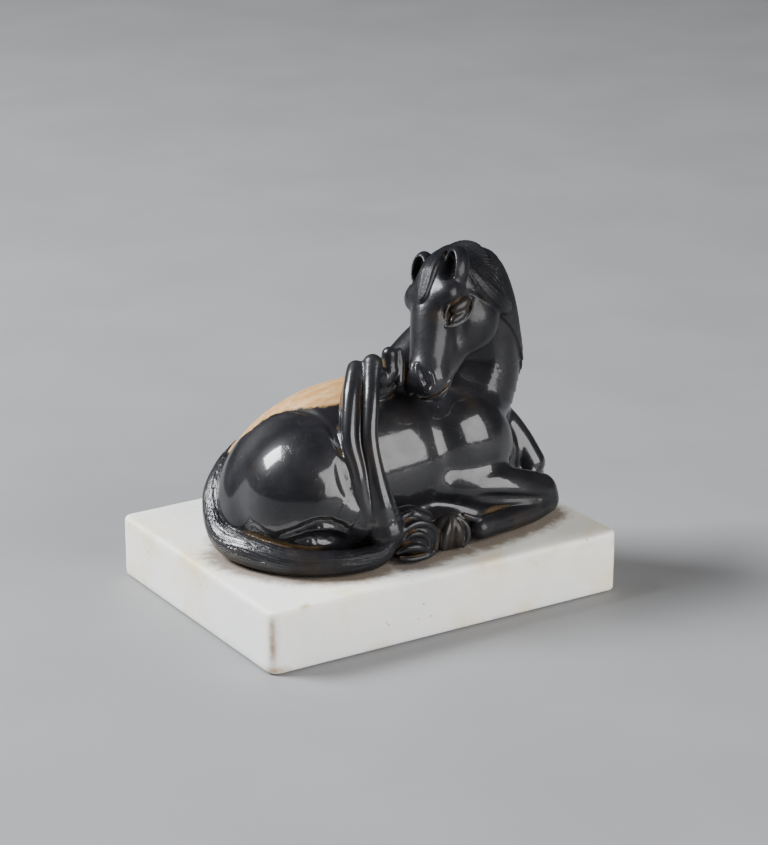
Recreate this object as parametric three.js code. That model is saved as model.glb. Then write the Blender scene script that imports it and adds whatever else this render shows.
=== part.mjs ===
// Recumbent horse carved in black soapstone, scratching its muzzle with a raised hind hoof,
// resting on a rectangular white marble plinth. Millimetres, +Z up, +X towards the chest,
// -Y is the side of the horse that carries the raised leg.
import * as THREE from "three";

// Plinth
const PLINTH_LENGTH = 94;
const PLINTH_DEPTH = 71.4;
const PLINTH_HEIGHT = 15;
const PLINTH_CORNER = 2.6;
const PLINTH_EDGE = 1.1;
const CORNER_STEPS = 6;
const EDGE_STEPS = 3;

// Where the horse stands, and how finely its carving is faceted
const RESTING_GAP = 0.3;
const HORSE_BASE = PLINTH_HEIGHT + RESTING_GAP;
const CARVING_CELL = 0.8;
const CURVE_STEPS = 4;
const SADDLE_DEPTH = 0.1;
const HORSE_FACETS = 8700;
const CARVING_LOW = [-44.3, -33.2, HORSE_BASE - 1.3];
const CARVING_HIGH = [48, 29, 82];

// Softness of the joins, from broad muscle to crisp carving
const MUSCLE = 6;
const FLESH = 2.2;
const SINEW = 1;
const CRISP = 0.45;

// Trunk masses: centre and half sizes
const RUMP = { at: [-8, 1, 24], half: [30.8, 18.2, 25.8] };
const BARREL = { at: [2, 0, 31.5], half: [24, 18.3, 17.6] };
const CHEST = { at: [18, 1, 31], half: [14.5, 17, 16.5] };
const WITHERS = { at: [11, 2, 42], half: [12, 9, 7.4] };
const NEAR_HAUNCH = { at: [-19.5, -7.5, 29.6], half: [17.4, 15.3, 16.6] };
const FAR_HAUNCH = { at: [-17, 7.4, 26.8], half: [16, 13.2, 15.2] };
const NEAR_SHOULDER = { at: [19.5, -8.5, 34], half: [12.5, 11.3, 14] };
const FAR_SHOULDER = { at: [20, 10, 33], half: [11, 9.5, 14] };
const SHOULDER_POINT = { at: [26, -8.4, 33], half: [6.6, 8.2, 8] };
const SHOULDER_LEAN = -25;

// Neck, from the chest to the poll: places and radii
const NECK = [
  [19, 1, 34, 14],
  [27.4, 0, 42, 11.2],
  [31, 0, 49, 9.7],
  [31, 0, 56, 9],
  [29.6, 0, 64, 8.7],
  [27, 0.4, 69.9, 8.6],
  [23, -1, 70.8, 7.5],
];

// Head: where the skull sits, which way the face runs, and its side axis
const SKULL_AT = [18.8, -4.5, 72.3];
const FACE_RUN = [-0.454, -0.399, -0.798];
const FACE_SIDE = [0.259, -0.916, 0.31];
const EYE_AT = [8.5, 0.8, 6.6];
const EYE_SIZE = 0.84;
const EYE_RUN = [-9.1, -6.4, 2.3];
const EAR_SIDE = 5.4;
const EAR_LEAN = -8;
const MANE_DEPTH = 0.75;
const MANE_EDGE_AT = [32.4, -8, 62];
const MANE_EDGE_FACING = [0.7, 0.53, 0.47];

const add = (a, b) => [a[0] + b[0], a[1] + b[1], a[2] + b[2]];
const minus = (a, b) => [a[0] - b[0], a[1] - b[1], a[2] - b[2]];
const times = (a, s) => [a[0] * s, a[1] * s, a[2] * s];
const dot = (a, b) => a[0] * b[0] + a[1] * b[1] + a[2] * b[2];
const unit = (a) => times(a, 1 / Math.hypot(a[0], a[1], a[2]));
const cross = (a, b) => [
  a[1] * b[2] - a[2] * b[1],
  a[2] * b[0] - a[0] * b[2],
  a[0] * b[1] - a[1] * b[0],
];
const clamp01 = (t) => Math.min(Math.max(t, 0), 1);

// Rounded minimum and maximum of two distances
function softMin(a, b, k) {
  const h = Math.max(k - Math.abs(a - b), 0) / k;
  return Math.min(a, b) - h * h * k * 0.25;
}

function softMax(a, b, k) {
  return -softMin(-a, -b, k);
}

// A form is a distance function with a ball that holds it: { at, reach, d(x, y, z) }
function egg(at, half, turn = [0, 0, 0]) {
  const m = new THREE.Matrix4().makeRotationFromEuler(
    new THREE.Euler(...turn.map(THREE.MathUtils.degToRad), "ZYX"),
  ).elements;
  const [a, b, c] = half;
  const smallest = Math.min(a, b, c);
  const d = (x, y, z) => {
    const px = x - at[0];
    const py = y - at[1];
    const pz = z - at[2];
    const u = (m[0] * px + m[1] * py + m[2] * pz) / a;
    const w = (m[4] * px + m[5] * py + m[6] * pz) / b;
    const t = (m[8] * px + m[9] * py + m[10] * pz) / c;
    const k0 = Math.sqrt(u * u + w * w + t * t);
    const k1 = Math.sqrt((u / a) ** 2 + (w / b) ** 2 + (t / c) ** 2);
    return k1 < 1e-9 ? -smallest : (k0 * (k0 - 1)) / k1;
  };
  return { at, reach: Math.max(a, b, c), d };
}

const mass = (form, turn) => egg(form.at, form.half, turn);

// Terms of the even curve through stations [x, y, z, radius]: four for each span between two
function curveTerms(stations) {
  const last = stations.length - 1;
  return stations.slice(1).map((p2, i) => {
    const p0 = stations[Math.max(i - 1, 0)];
    const p1 = stations[i];
    const p3 = stations[Math.min(i + 2, last)];
    return [0, 1, 2, 3].map((q) => [
      p1[q],
      (p2[q] - p0[q]) / 2,
      (2 * p0[q] - 5 * p1[q] + 4 * p2[q] - p3[q]) / 2,
      (3 * p1[q] - p0[q] - 3 * p2[q] + p3[q]) / 2,
    ]);
  });
}

// Station at a place along a curve, where a whole number is one of its own stations
function onCurve(terms, place) {
  const span = Math.min(Math.floor(place), terms.length - 1);
  const t = place - span;
  return terms[span].map(([a, b, c, d]) => ((d * t + c) * t + b) * t + a);
}

function ballAround(boxes) {
  const low = [0, 1, 2].map((i) => Math.min(...boxes.map((b) => b.at[i] - b.reach)));
  const high = [0, 1, 2].map((i) => Math.max(...boxes.map((b) => b.at[i] + b.reach)));
  const at = times(add(low, high), 0.5);
  return { at, reach: Math.hypot(...minus(high, low)) / 2 };
}

// A round limb that tapers along its stations
function limb(...stations) {
  const terms = curveTerms(stations);
  const count = terms.length * CURVE_STEPS;
  const line = Array.from({ length: count + 1 }, (_, i) => onCurve(terms, i / CURVE_STEPS));
  const runs = line.slice(1).map((b, i) => {
    const a = line[i];
    const along = minus(b, a);
    return { a, along, inverse: 1 / Math.max(dot(along, along), 1e-9), grow: b[3] - a[3] };
  });
  const d = (x, y, z) => {
    let best = Infinity;
    let place = 0;
    runs.forEach(({ a, along, inverse, grow }, i) => {
      const px = x - a[0];
      const py = y - a[1];
      const pz = z - a[2];
      const t = clamp01((px * along[0] + py * along[1] + pz * along[2]) * inverse);
      const off = Math.hypot(px - along[0] * t, py - along[1] * t, pz - along[2] * t);
      const here = off - a[3] - grow * t;
      if (here < best) {
        best = here;
        place = i + t;
      }
    });
    const [cx, cy, cz, radius] = onCurve(terms, place / CURVE_STEPS);
    return Math.hypot(x - cx, y - cy, z - cz) - radius;
  };
  return { ...ballAround(line.map((p) => ({ at: p, reach: p[3] }))), d };
}

const away = (form, x, y, z) =>
  Math.hypot(x - form.at[0], y - form.at[1], z - form.at[2]) - form.reach;

function joined(k, ...forms) {
  const d = (x, y, z) => {
    let best = Infinity;
    for (const form of forms) {
      if (away(form, x, y, z) > best + k) continue;
      const here = form.d(x, y, z);
      best = best === Infinity ? here : softMin(best, here, k);
    }
    return best;
  };
  return { ...ballAround(forms), d };
}

function carved(k, body, ...cuts) {
  const d = (x, y, z) => {
    let here = body.d(x, y, z);
    for (const cut of cuts) {
      if (-away(cut, x, y, z) < here - k) continue;
      here = softMax(here, -cut.d(x, y, z), k);
    }
    return here;
  };
  return { at: body.at, reach: body.reach, d };
}

// A form drawn on its own axes, set into place
function placed(at, [ax, ay, az], form) {
  const [u, w, t] = form.at;
  const centre = [0, 1, 2].map((i) => at[i] + ax[i] * u + ay[i] * w + az[i] * t);
  const d = (x, y, z) => {
    const p = [x - at[0], y - at[1], z - at[2]];
    return form.d(dot(p, ax), dot(p, ay), dot(p, az));
  };
  return { at: centre, reach: form.reach, d };
}

function sized(size, form) {
  const d = (x, y, z) => form.d(x / size, y / size, z / size) * size;
  return { at: times(form.at, size), reach: form.reach * size, d };
}

// A form grown outwards by a depth, kept only inside a region
function shell(form, depth, k, region) {
  const d = (x, y, z) => softMax(form.d(x, y, z) - depth, region(x, y, z), k);
  return { at: form.at, reach: form.reach + depth, d };
}

const bothSides = (draw) => [draw(1), draw(-1)];

// Trunk, haunches and shoulders
function makeTrunk() {
  const core = joined(
    MUSCLE, mass(RUMP), mass(BARREL, [0, 3, 0]), mass(CHEST), mass(WITHERS, [0, 16, 0])
  );
  const lean = [0, SHOULDER_LEAN, 0];
  const muscled = joined(
    2,
    core,
    mass(NEAR_HAUNCH),
    mass(FAR_HAUNCH),
    mass(NEAR_SHOULDER, lean),
    mass(FAR_SHOULDER, lean),
    mass(SHOULDER_POINT),
  );
  const thigh = limb([-20, -12.6, 30, 10.3], [-15, -16.8, 27, 8], [-11.5, -19.5, 24, 5.2]);
  const farStifle = limb([-17, 12, 27, 9], [-9, 16.5, 24, 6.5], [-4, 18.5, 21, 4.2]);
  return joined(1.5, muscled, thigh, farStifle);
}

// Raised near hind leg: the shin, and the folded foot beside the muzzle
function makeRaisedLeg() {
  const shin = limb(
    [-9.8, -23.1, 23.2, 5],
    [-10.8, -23.2, 29, 3.4],
    [-11.7, -22.2, 36, 2.3],
    [-11.8, -20, 43.9, 1.9],
    [-9.4, -16.5, 50.8, 1.9],
    [-7.1, -13.1, 55.3, 2],
    [-5.4, -10.8, 58.2, 2.3],
  );
  const cannon = limb([-4.4, -10.4, 56, 2], [-2.4, -10.4, 54, 2], [-0.6, -10.2, 55.4, 2.2]);
  const footBed = egg([-1.2, -7.5, 53], [5.2, 3, 5]);
  const fetlock = limb([-0.4, -9.8, 55.4, 2.1], [-0.1, -9.5, 59.2, 1.8]);
  const hoof = limb([2.3, -9.6, 59.5, 0.9], [1.9, -10.6, 56, 1.3], [1, -12, 53.2, 1.1]);
  return joined(CRISP, joined(SINEW, shin, cannon, footBed), fetlock, hoof);
}

function makeTendon() {
  return limb(
    [-13.2, -22.8, 25, 1.7],
    [-15, -22.6, 29.4, 1.75],
    [-15.8, -20.8, 37.8, 1.8],
    [-16.1, -18.2, 44.2, 1.9],
    [-13.1, -13.8, 51.9, 1.9],
    [-10.2, -10.4, 55.6, 2],
    [-8.6, -8.8, 56.9, 2.1],
  );
}

// The stone left between shin, tendon and flank
function makeLegWeb() {
  return limb(
    [-12.6, -20.6, 24, 3.2],
    [-13.4, -19.3, 33, 3.1],
    [-13.9, -16.6, 42, 3.2],
    [-12, -12.6, 49.4, 3],
    [-8.3, -8.8, 54.4, 2.8],
  );
}

// Tail, swept round the near haunch to end beside the stifle
function makeTail() {
  return limb(
    [-26.5, 15, 34.5, 1.4],
    [-31.6, 12, 31, 2.5],
    [-36.6, 7.5, 26, 3.1],
    [-38.8, 0, 19.8, 3.3],
    [-37.2, -9.3, 18.6, 3.4],
    [-31.2, -18.8, 18, 3.2],
    [-23.2, -23.9, 17.8, 3],
    [-15.2, -25.4, 17.9, 2.8],
    [-11.2, -26, 19.8, 2.3],
    [-9, -25.9, 23.2, 1.5],
    [-6.6, -25.2, 25.6, 1.1],
    [-3.6, -24.6, 26.4, 0.7],
  );
}

// Folded forelegs and the stone under the chest and belly
function makeForelegs() {
  const nearForearm = limb(
    [12, -13.5, 26.5, 5.5], [21, -17.2, 25.6, 5.4], [30, -18, 23.2, 4.8], [37.2, -16.4, 20.6, 4.5]
  );
  const farForearm = limb(
    [30, 3, 38.5, 5.6], [35.6, -1, 34.6, 4.2], [39, -4, 29.9, 3.7], [41.2, -7, 24.2, 3.7]
  );
  const bed = limb([-6, -17, 18.5, 5], [14, -16.5, 18.2, 4.8], [26, -15.5, 18.2, 4.6]);
  const underChest = [egg([26, -6, 20], [12, 10, 8]), egg([31, -4.5, 27], [6.5, 7, 9])];
  const betweenKnees = egg([38.5, -11.4, 19.6], [3, 3.4, 3.4]);
  return [nearForearm, farForearm, bed, betweenKnees, ...underChest];
}

function makeCannons() {
  const near = limb(
    [38, -17.4, 18.8, 3.7], [32, -20.4, 18, 2.9], [23.5, -22.8, 18.2, 2.7], [15, -24.6, 18.6, 2.7]
  );
  const far = limb([41.2, -7, 20.5, 3.6], [34, -3, 18.8, 3.6], [24, 0, 18.8, 3.6]);
  const hindPastern = limb([-8.2, -22, 24.2, 1.9], [-3.2, -22.2, 25, 2.2], [1.2, -22.4, 23.2, 2]);
  return [near, far, hindPastern];
}

// Far hind hoof, its sole turned to the front of the carving: wall, sole ring, frog and heel
function makeHindHoof() {
  const wall = limb(
    [-8.6, -26.4, 19.9, 0.6],
    [-7.9, -26.6, 22.6, 0.85],
    [-4, -26.9, 24.4, 0.95],
    [-0.2, -26.9, 23.2, 0.95],
    [1.5, -26.7, 20.4, 0.95],
    [1.1, -27, 17.4, 0.9],
  );
  const ring = limb(
    [-7.3, -27, 20.9, 0.45],
    [-5.3, -27.3, 22.1, 0.7],
    [-2.9, -27.4, 21.8, 0.8],
    [-1, -27.2, 20.2, 0.75],
    [-0.6, -27.2, 18, 0.6],
  );
  const frog = limb(
    [-8.9, -26.9, 18.2, 0.35], [-6.5, -27.5, 19.1, 0.9], [-3.7, -27.7, 18.8, 1.1], [-1.2, -27.5, 17.4, 0.6]
  );
  const heel = limb(
    [-7.9, -26.7, 16.6, 0.6], [-5.3, -27.6, 16.2, 0.8], [-1.7, -27.6, 16.2, 0.8], [0.6, -27.1, 16.5, 0.7]
  );
  const bed = egg([-3.6, -24.4, 19.9], [5.2, 2.7, 5], [14, 0, -25]);
  return joined(0.25, bed, wall, ring, frog, heel);
}

// Near fore hoof, cleft at the heel, with its fetlock
function makeForeHoof() {
  const crescent = limb(
    [8.6, -25.3, 22.8, 0.45], [10.3, -26, 20.6, 0.8], [10.4, -26.5, 18, 0.8], [9, -26.8, 16.2, 0.5]
  );
  const fetlock = limb(
    [10.6, -24.6, 22.8, 0.6], [12.8, -25, 21.6, 0.8], [15, -25, 20.6, 0.8], [14.4, -25.4, 17.8, 0.9]
  );
  const leaf = limb(
    [6.4, -25.4, 23.4, 0.3], [5.4, -26, 21.4, 1.1], [4.2, -26.3, 19, 1.3], [3.8, -26.4, 16.8, 0.9]
  );
  const bed = egg([6.4, -24.2, 19.2], [4.4, 2.5, 4.9], [0, 4, 0]);
  const sole = egg([8, -25, 18.8], [2, 2.4, 3.9], [0, -4, 0]);
  return joined(0.25, bed, sole, leaf, crescent, fetlock);
}

function makeNeck() {
  return limb(...NECK);
}

// Head axes: down the face, out of the forehead, towards the near side
function headAxes() {
  const run = unit(FACE_RUN);
  const side = unit(minus(FACE_SIDE, times(run, dot(FACE_SIDE, run))));
  return [run, cross(run, side), side];
}

function eyeAxes(side) {
  const run = unit([EYE_RUN[0], EYE_RUN[1], EYE_RUN[2] * side]);
  const outward = [-0.1, 0.35, side];
  const out = unit(minus(outward, times(run, dot(outward, run))));
  const up = cross(out, run);
  return [run, up[0] > 0 ? times(up, -1) : up, out];
}

function inEye(side, form) {
  const at = [EYE_AT[0], EYE_AT[1], EYE_AT[2] * side];
  return placed(at, eyeAxes(side), sized(EYE_SIZE, form));
}

// Eye: a heavy upper lid over the ball, and a thin lower lid
function makeEye(side) {
  const ball = egg([-0.9, -0.9, -0.1], [3.6, 1.5, 1.1]);
  const upperLid = egg([1.3, 1.1, 0.4], [3.6, 1.9, 1.5], [0, 0, -6]);
  const lowerLid = limb(
    [-5.8, -0.9, -0.5, 0.6],
    [-3.4, -2.2, -0.1, 0.6],
    [0.4, -2.6, 0, 0.6],
    [3.6, -1.5, 0.1, 0.6],
    [6, 0.3, -0.4, 0.5],
  );
  return inEye(side, joined(0.5, ball, lowerLid, upperLid));
}

// The hollow round the eye, deepest beside the bridge of the nose
function makeSocket(side) {
  const hollow = joined(1.2, egg([0, 0.2, 1.2], [5.6, 3, 1.9]), egg([-2.6, 2, 1], [2.4, 1.8, 1.9]));
  return inEye(side, hollow);
}

function makeEar(side) {
  return egg([-2, 3, EAR_SIDE * side], [5, 2.9, 2.9], [0, EAR_LEAN, 0]);
}

function makeEarCup(side) {
  return egg([-1.2, 5.8, (EAR_SIDE - 0.2) * side], [3.8, 3.6, 1.9], [0, EAR_LEAN, 0]);
}

function makeNostril(side) {
  return limb(
    [23.2, 6.1, 1.6 * side, 0.5],
    [24.1, 5.6, 2.5 * side, 0.95],
    [25.5, 4.7, 3.2 * side, 1.1],
    [26.8, 3.7, 3.2 * side, 0.6],
  );
}

// The flared rim round a nostril, open towards the cheek
function makeNostrilRim(side) {
  return limb(
    [22.6, 5.4, 0.9 * side, 0.4],
    [24.4, 5, 1.3 * side, 0.6],
    [26.6, 3.8, 1.9 * side, 0.65],
    [28, 2.4, 3.2 * side, 0.5],
    [26.8, 2.6, 4.5 * side, 0.45],
    [24.6, 3.8, 4.4 * side, 0.45],
  );
}

function makeMouth(side) {
  return limb(
    [28.6, 0.6, 0, 0.5],
    [27.8, 0, 2.4 * side, 0.55],
    [25.4, -1.4, 4 * side, 0.6],
    [22.6, -3, 4.6 * side, 0.5],
  );
}

// Head with brows, eyes, ears, nostrils, mouth and forelock, on its own axes
function makeHead() {
  const brows = bothSides((side) => egg([5, 3.8, 4.8 * side], [3.5, 3, 3.2]));
  const bridge = limb(
    [2, 1.2, 0, 6.2],
    [8, 2.1, 0, 5.6],
    [13, 1.8, 0, 5.2],
    [18, 1.2, 0, 4.8],
    [23, 0.8, 0, 4.5],
  );
  const jaw = limb([8, -7, 0, 6], [15, -4.5, 0, 4.4], [22, -1.8, 0, 3.8], [25, -1.2, 0, 3.7]);
  const jowl = egg([6.3, -7, 0], [8.8, 8.7, 8.4]);
  const muzzle = egg([24.3, 0.6, 0], [4.4, 4.7, 4.6]);
  let plain = joined(2.2, egg([0.6, -0.8, 0], [7.6, 7.3, 7.4]), jowl, bridge, jaw, muzzle, ...brows);
  plain = joined(0.8, plain, ...bothSides(makeNostrilRim));
  const leaf = egg([0.4, 6, 0.7], [8.2, 6, 2.3]);
  const forelock = shell(plain, 0.7, 0.4, leaf.d);
  const socketed = carved(0.8, plain, ...bothSides(makeSocket));
  const eared = joined(0.6, socketed, ...bothSides(makeEar));
  const lidded = joined(0.35, eared, forelock, ...bothSides(makeEye));
  return carved(0.5, lidded, ...bothSides(makeEarCup), ...bothSides(makeNostril), ...bothSides(makeMouth));
}

// Mane: a raised layer over the crest of the neck
function makeManeLayer(neck, axes) {
  const poll = placed(SKULL_AT, axes, egg([1.2, -3, 0], [7.6, 7.6, 7.4]));
  const facing = unit(MANE_EDGE_FACING);
  const region = (x, y, z) => {
    const p = minus([x, y, z], SKULL_AT);
    const behindEdge = -dot(minus([x, y, z], MANE_EDGE_AT), facing);
    const [down, out] = axes.map((axis) => dot(p, axis));
    const behindEars = softMax(down - 3 + 0.06 * out, out - 0.5, 1.5);
    return softMin(behindEdge, behindEars, 2);
  };
  return shell(joined(2, neck, poll), MANE_DEPTH, 0.5, region);
}

// The loose lock across the near jowl, on the head's axes
function makeCheekLock() {
  return limb(
    [-2.6, 2.6, 6, 1.1],
    [-0.4, -1.2, 6.8, 2],
    [1.2, -5, 7, 2.7],
    [1.8, -9.4, 6.6, 2.8],
    [1.4, -14.4, 4.9, 2.1],
  );
}

// Hollows: under the lip of the thigh, and the eye-shaped recess
function makeHollows() {
  const underLip = limb(
    [-34.6, -12.8, 22, 0.4],
    [-32.4, -17.2, 24.4, 0.8],
    [-29.9, -19.9, 25.9, 1.1],
    [-27.1, -21.6, 27, 1.4],
    [-23.9, -22.8, 27, 1.4],
    [-20.5, -23.6, 25, 1.2],
    [-17.1, -24.2, 21.8, 0.9],
    [-14.4, -26, 20.6, 0.8],
  );
  const recess = limb(
    [-31.1, -17.6, 22.3, 0.8],
    [-28.4, -19.8, 22.9, 1.9],
    [-25.3, -21.3, 22.9, 2.3],
    [-21.8, -22.3, 22.2, 2.1],
    [-18.4, -24, 21, 1],
  );
  return [underLip, recess];
}

// Creases: along the crest of the haunch, down beside the raised leg, above the near cannon
function makeCreases() {
  const haunchCrest = limb(
    [-26.6, 4, 45.2, 0.3],
    [-22.2, 0, 47.5, 0.8],
    [-18.6, -4.8, 47.6, 0.9],
    [-17.4, -10.6, 46.6, 0.9],
    [-17.8, -15.5, 44.4, 0.9],
    [-18, -18.5, 41.6, 0.6],
  );
  const valley = limb(
    [-18.6, -18.4, 44, 0.7],
    [-19.9, -21.4, 39.6, 1.7],
    [-19.6, -23.6, 35.4, 2.1],
    [-18, -24.8, 31.6, 1.8],
    [-16.4, -25.4, 28.4, 0.8],
  );
  const aboveCannon = limb(
    [3, -23, 25, 2.2],
    [12, -23.2, 24.8, 2.2],
    [20, -23.2, 23.9, 1.7],
    [28, -22.9, 22.6, 1.1],
    [34, -22.2, 21.3, 0.5],
  );
  return [haunchCrest, valley, aboveCannon];
}

// Stone left standing between the far side of the head, the neck and the back
function makeNeckWeb() {
  return limb([26, 3, 57, 7], [18, 2.6, 54.6, 6.4], [7, 1.5, 48.5, 5.2]);
}

function makeHorse() {
  const axes = headAxes();
  const neck = makeNeck();
  const hollowThroat = carved(2.5, neck, egg([20, -10, 53], [7.5, 4.4, 9], [0, 20, 0]));
  const leg = joined(SINEW, makeRaisedLeg(), makeTendon(), makeLegWeb());
  const head = placed(SKULL_AT, axes, makeHead());
  const lock = placed(SKULL_AT, axes, makeCheekLock());
  let horse = joined(FLESH, makeTrunk(), ...makeForelegs());
  horse = joined(2.5, horse, hollowThroat, makeNeckWeb());
  horse = carved(0.9, horse, ...makeCreases());
  horse = joined(0.7, horse, ...makeCannons());
  horse = carved(0.7, horse, ...makeHollows());
  horse = joined(CRISP, horse, makeHindHoof(), makeForeHoof(), makeTail(), leg);
  horse = joined(CRISP, horse, head, makeManeLayer(neck, axes), lock);
  const d = (x, y, z) => softMax(horse.d(x, y, z), HORSE_BASE - z, 0.6);
  return { at: horse.at, reach: horse.reach, d };
}

// Corners, edges and faces of a cell of the carving block
const CELL_CORNERS = [0, 1, 2, 3, 4, 5, 6, 7].map((c) => [c & 1, (c >> 1) & 1, (c >> 2) & 1]);
const CELL_EDGES = CELL_CORNERS.flatMap((_, a) => {
  const ways = [1, 2, 4].filter((bit) => !(a & bit));
  return ways.map((bit) => [a, a | bit]);
});
const CELL_FACES = [1, 2, 4].flatMap((bit) => {
  const [u, w] = [1, 2, 4].filter((other) => other !== bit);
  return [0, bit].map((base) => [base, base | u, base | u | w, base | w]);
});

// Distances at every corner of the block
function sampleBlock(form, low, high, cell) {
  const counts = [0, 1, 2].map((i) => Math.ceil((high[i] - low[i]) / cell) + 1);
  const values = new Float64Array(counts[0] * counts[1] * counts[2]);
  let n = 0;
  for (let k = 0; k < counts[2]; k++) {
    for (let j = 0; j < counts[1]; j++) {
      for (let i = 0; i < counts[0]; i++) {
        const value = form.d(low[0] + i * cell, low[1] + j * cell, low[2] + k * cell);
        values[n++] = Math.abs(value) < 1e-6 ? 1e-6 : value;
      }
    }
  }
  return { counts, values };
}

// Where a face of the block has stone only at opposite corners, its shallowest other corner is filled
function fillSaddles({ counts, values }, depth) {
  const [nx, ny, nz] = counts;
  const strides = [1, nx, nx * ny];
  let filled = 0;
  const settle = (start, u, w) => {
    const ring = [start, start + u, start + u + w, start + w];
    const [a, b, c, d] = ring.map((n) => values[n] < 0);
    if (a !== c || b !== d || a === b) return;
    const open = ring.filter((n) => values[n] >= 0);
    values[values[open[0]] < values[open[1]] ? open[0] : open[1]] = -depth;
    filled++;
  };
  for (let k = 0; k < nz - 1; k++) {
    for (let j = 0; j < ny - 1; j++) {
      for (let i = 0; i < nx - 1; i++) {
        const start = i + nx * (j + ny * k);
        for (const axis of [0, 1, 2]) settle(start, strides[axis], strides[(axis + 1) % 3]);
      }
    }
  }
  return filled;
}

const edgeBetween = (a, b) =>
  CELL_EDGES.findIndex(([p, q]) => (p === a && q === b) || (p === b && q === a));

// Which crossed edges of a cell belong to one sheet of skin: a sheet number for each edge
function sheetsOf(inside) {
  const sheet = CELL_EDGES.map(([a, b], i) => (inside[a] === inside[b] ? -1 : i));
  const unite = (i, j) => {
    const from = sheet[j];
    const to = sheet[i];
    sheet.forEach((s, n) => (sheet[n] = s === from ? to : s));
  };
  for (const ring of CELL_FACES) {
    const crossed = [];
    ring.forEach((corner, n) => {
      const next = ring[(n + 1) % 4];
      if (inside[corner] !== inside[next]) crossed.push(edgeBetween(corner, next));
    });
    if (crossed.length) unite(...crossed);
  }
  return sheet;
}

// Closed triangle skin of a form: { points, triangles }, one point for each sheet in a cell
function skinOf(form, low, high, cell) {
  const block = sampleBlock(form, low, high, cell);
  while (fillSaddles(block, SADDLE_DEPTH) > 0);
  const { counts, values } = block;
  const [nx, ny, nz] = counts;
  const strides = [1, nx, nx * ny];
  const points = [];
  const sheetPoint = new Map();
  const patterns = new Map();
  const settle = (i, j, k) => {
    const start = i + nx * (j + ny * k);
    const corner = CELL_CORNERS.map(([a, b, c]) => values[start + a + nx * (b + ny * c)]);
    const inside = corner.map((value) => value < 0);
    const pattern = inside.reduce((sum, yes, n) => sum + (yes ? 1 << n : 0), 0);
    if (pattern === 0 || pattern === 255) return;
    if (!patterns.has(pattern)) patterns.set(pattern, sheetsOf(inside));
    const sheet = patterns.get(pattern);
    for (const one of new Set(sheet)) {
      if (one < 0) continue;
      const crossings = [];
      sheet.forEach((s, e) => {
        if (s !== one) return;
        const [a, b] = CELL_EDGES[e];
        const t = corner[a] / (corner[a] - corner[b]);
        crossings.push(add(CELL_CORNERS[a], times(minus(CELL_CORNERS[b], CELL_CORNERS[a]), t)));
        sheetPoint.set(start * 12 + e, points.length);
      });
      const middle = times(crossings.reduce(add), 1 / crossings.length);
      points.push(add(low, times(add([i, j, k], middle), cell)));
    }
  };
  for (let k = 0; k < nz - 1; k++) {
    for (let j = 0; j < ny - 1; j++) {
      for (let i = 0; i < nx - 1; i++) settle(i, j, k);
    }
  }
  const triangles = [];
  const close = (start, axis) => {
    if (values[start] < 0 === values[start + strides[axis]] < 0) return;
    const u = (axis + 1) % 3;
    const w = (axis + 2) % 3;
    const quad = [
      [1, 1],
      [0, 1],
      [0, 0],
      [1, 0],
    ].map(([du, dw]) => {
      const from = (du << u) | (dw << w);
      const owner = start - du * strides[u] - dw * strides[w];
      return sheetPoint.get(owner * 12 + edgeBetween(from, from | (1 << axis)));
    });
    if (values[start] >= 0) quad.reverse();
    const [a, b, c, d] = quad;
    const short = Math.hypot(...minus(points[a], points[c])) < Math.hypot(...minus(points[b], points[d]));
    triangles.push(...(short ? [[a, b, c], [a, c, d]] : [[a, b, d], [b, c, d]]));
  };
  for (let k = 1; k < nz - 1; k++) {
    for (let j = 1; j < ny - 1; j++) {
      for (let i = 1; i < nx - 1; i++) {
        for (const axis of [0, 1, 2]) close(i + nx * (j + ny * k), axis);
      }
    }
  }
  return { points, triangles };
}

// Only the largest skin is kept, so no pocket is left inside the stone
function largestSkin({ points, triangles }) {
  const parent = points.map((_, i) => i);
  const root = (i) => {
    while (parent[i] !== i) {
      parent[i] = parent[parent[i]];
      i = parent[i];
    }
    return i;
  };
  for (const [a, b, c] of triangles) {
    parent[root(b)] = root(a);
    parent[root(c)] = root(a);
  }
  const sizes = new Map();
  for (const [a] of triangles) sizes.set(root(a), (sizes.get(root(a)) ?? 0) + 1);
  const [main] = [...sizes].sort((p, q) => q[1] - p[1])[0];
  return { points, triangles: triangles.filter(([a]) => root(a) === main) };
}

// Error of a point against the planes gathered at a vertex
const planeError = (q, [x, y, z]) =>
  q[0] * x * x +
  2 * q[1] * x * y +
  2 * q[2] * x * z +
  2 * q[3] * x +
  q[4] * y * y +
  2 * q[5] * y * z +
  2 * q[6] * y +
  q[7] * z * z +
  2 * q[8] * z +
  q[9];

function planeTerms([a, b, c], d, weight) {
  return [a * a, a * b, a * c, a * d, b * b, b * c, b * d, c * c, c * d, d * d].map((v) => v * weight);
}

// The point of least error, or null where the planes are nearly parallel
function bestPoint(q) {
  const m = new THREE.Matrix3().set(q[0], q[1], q[2], q[1], q[4], q[5], q[2], q[5], q[7]);
  const size = q[0] + q[4] + q[7];
  if (Math.abs(m.determinant()) < 2e-4 * size ** 3) return null;
  const p = new THREE.Vector3(-q[3], -q[6], -q[8]).applyMatrix3(m.invert());
  return [p.x, p.y, p.z];
}

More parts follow.
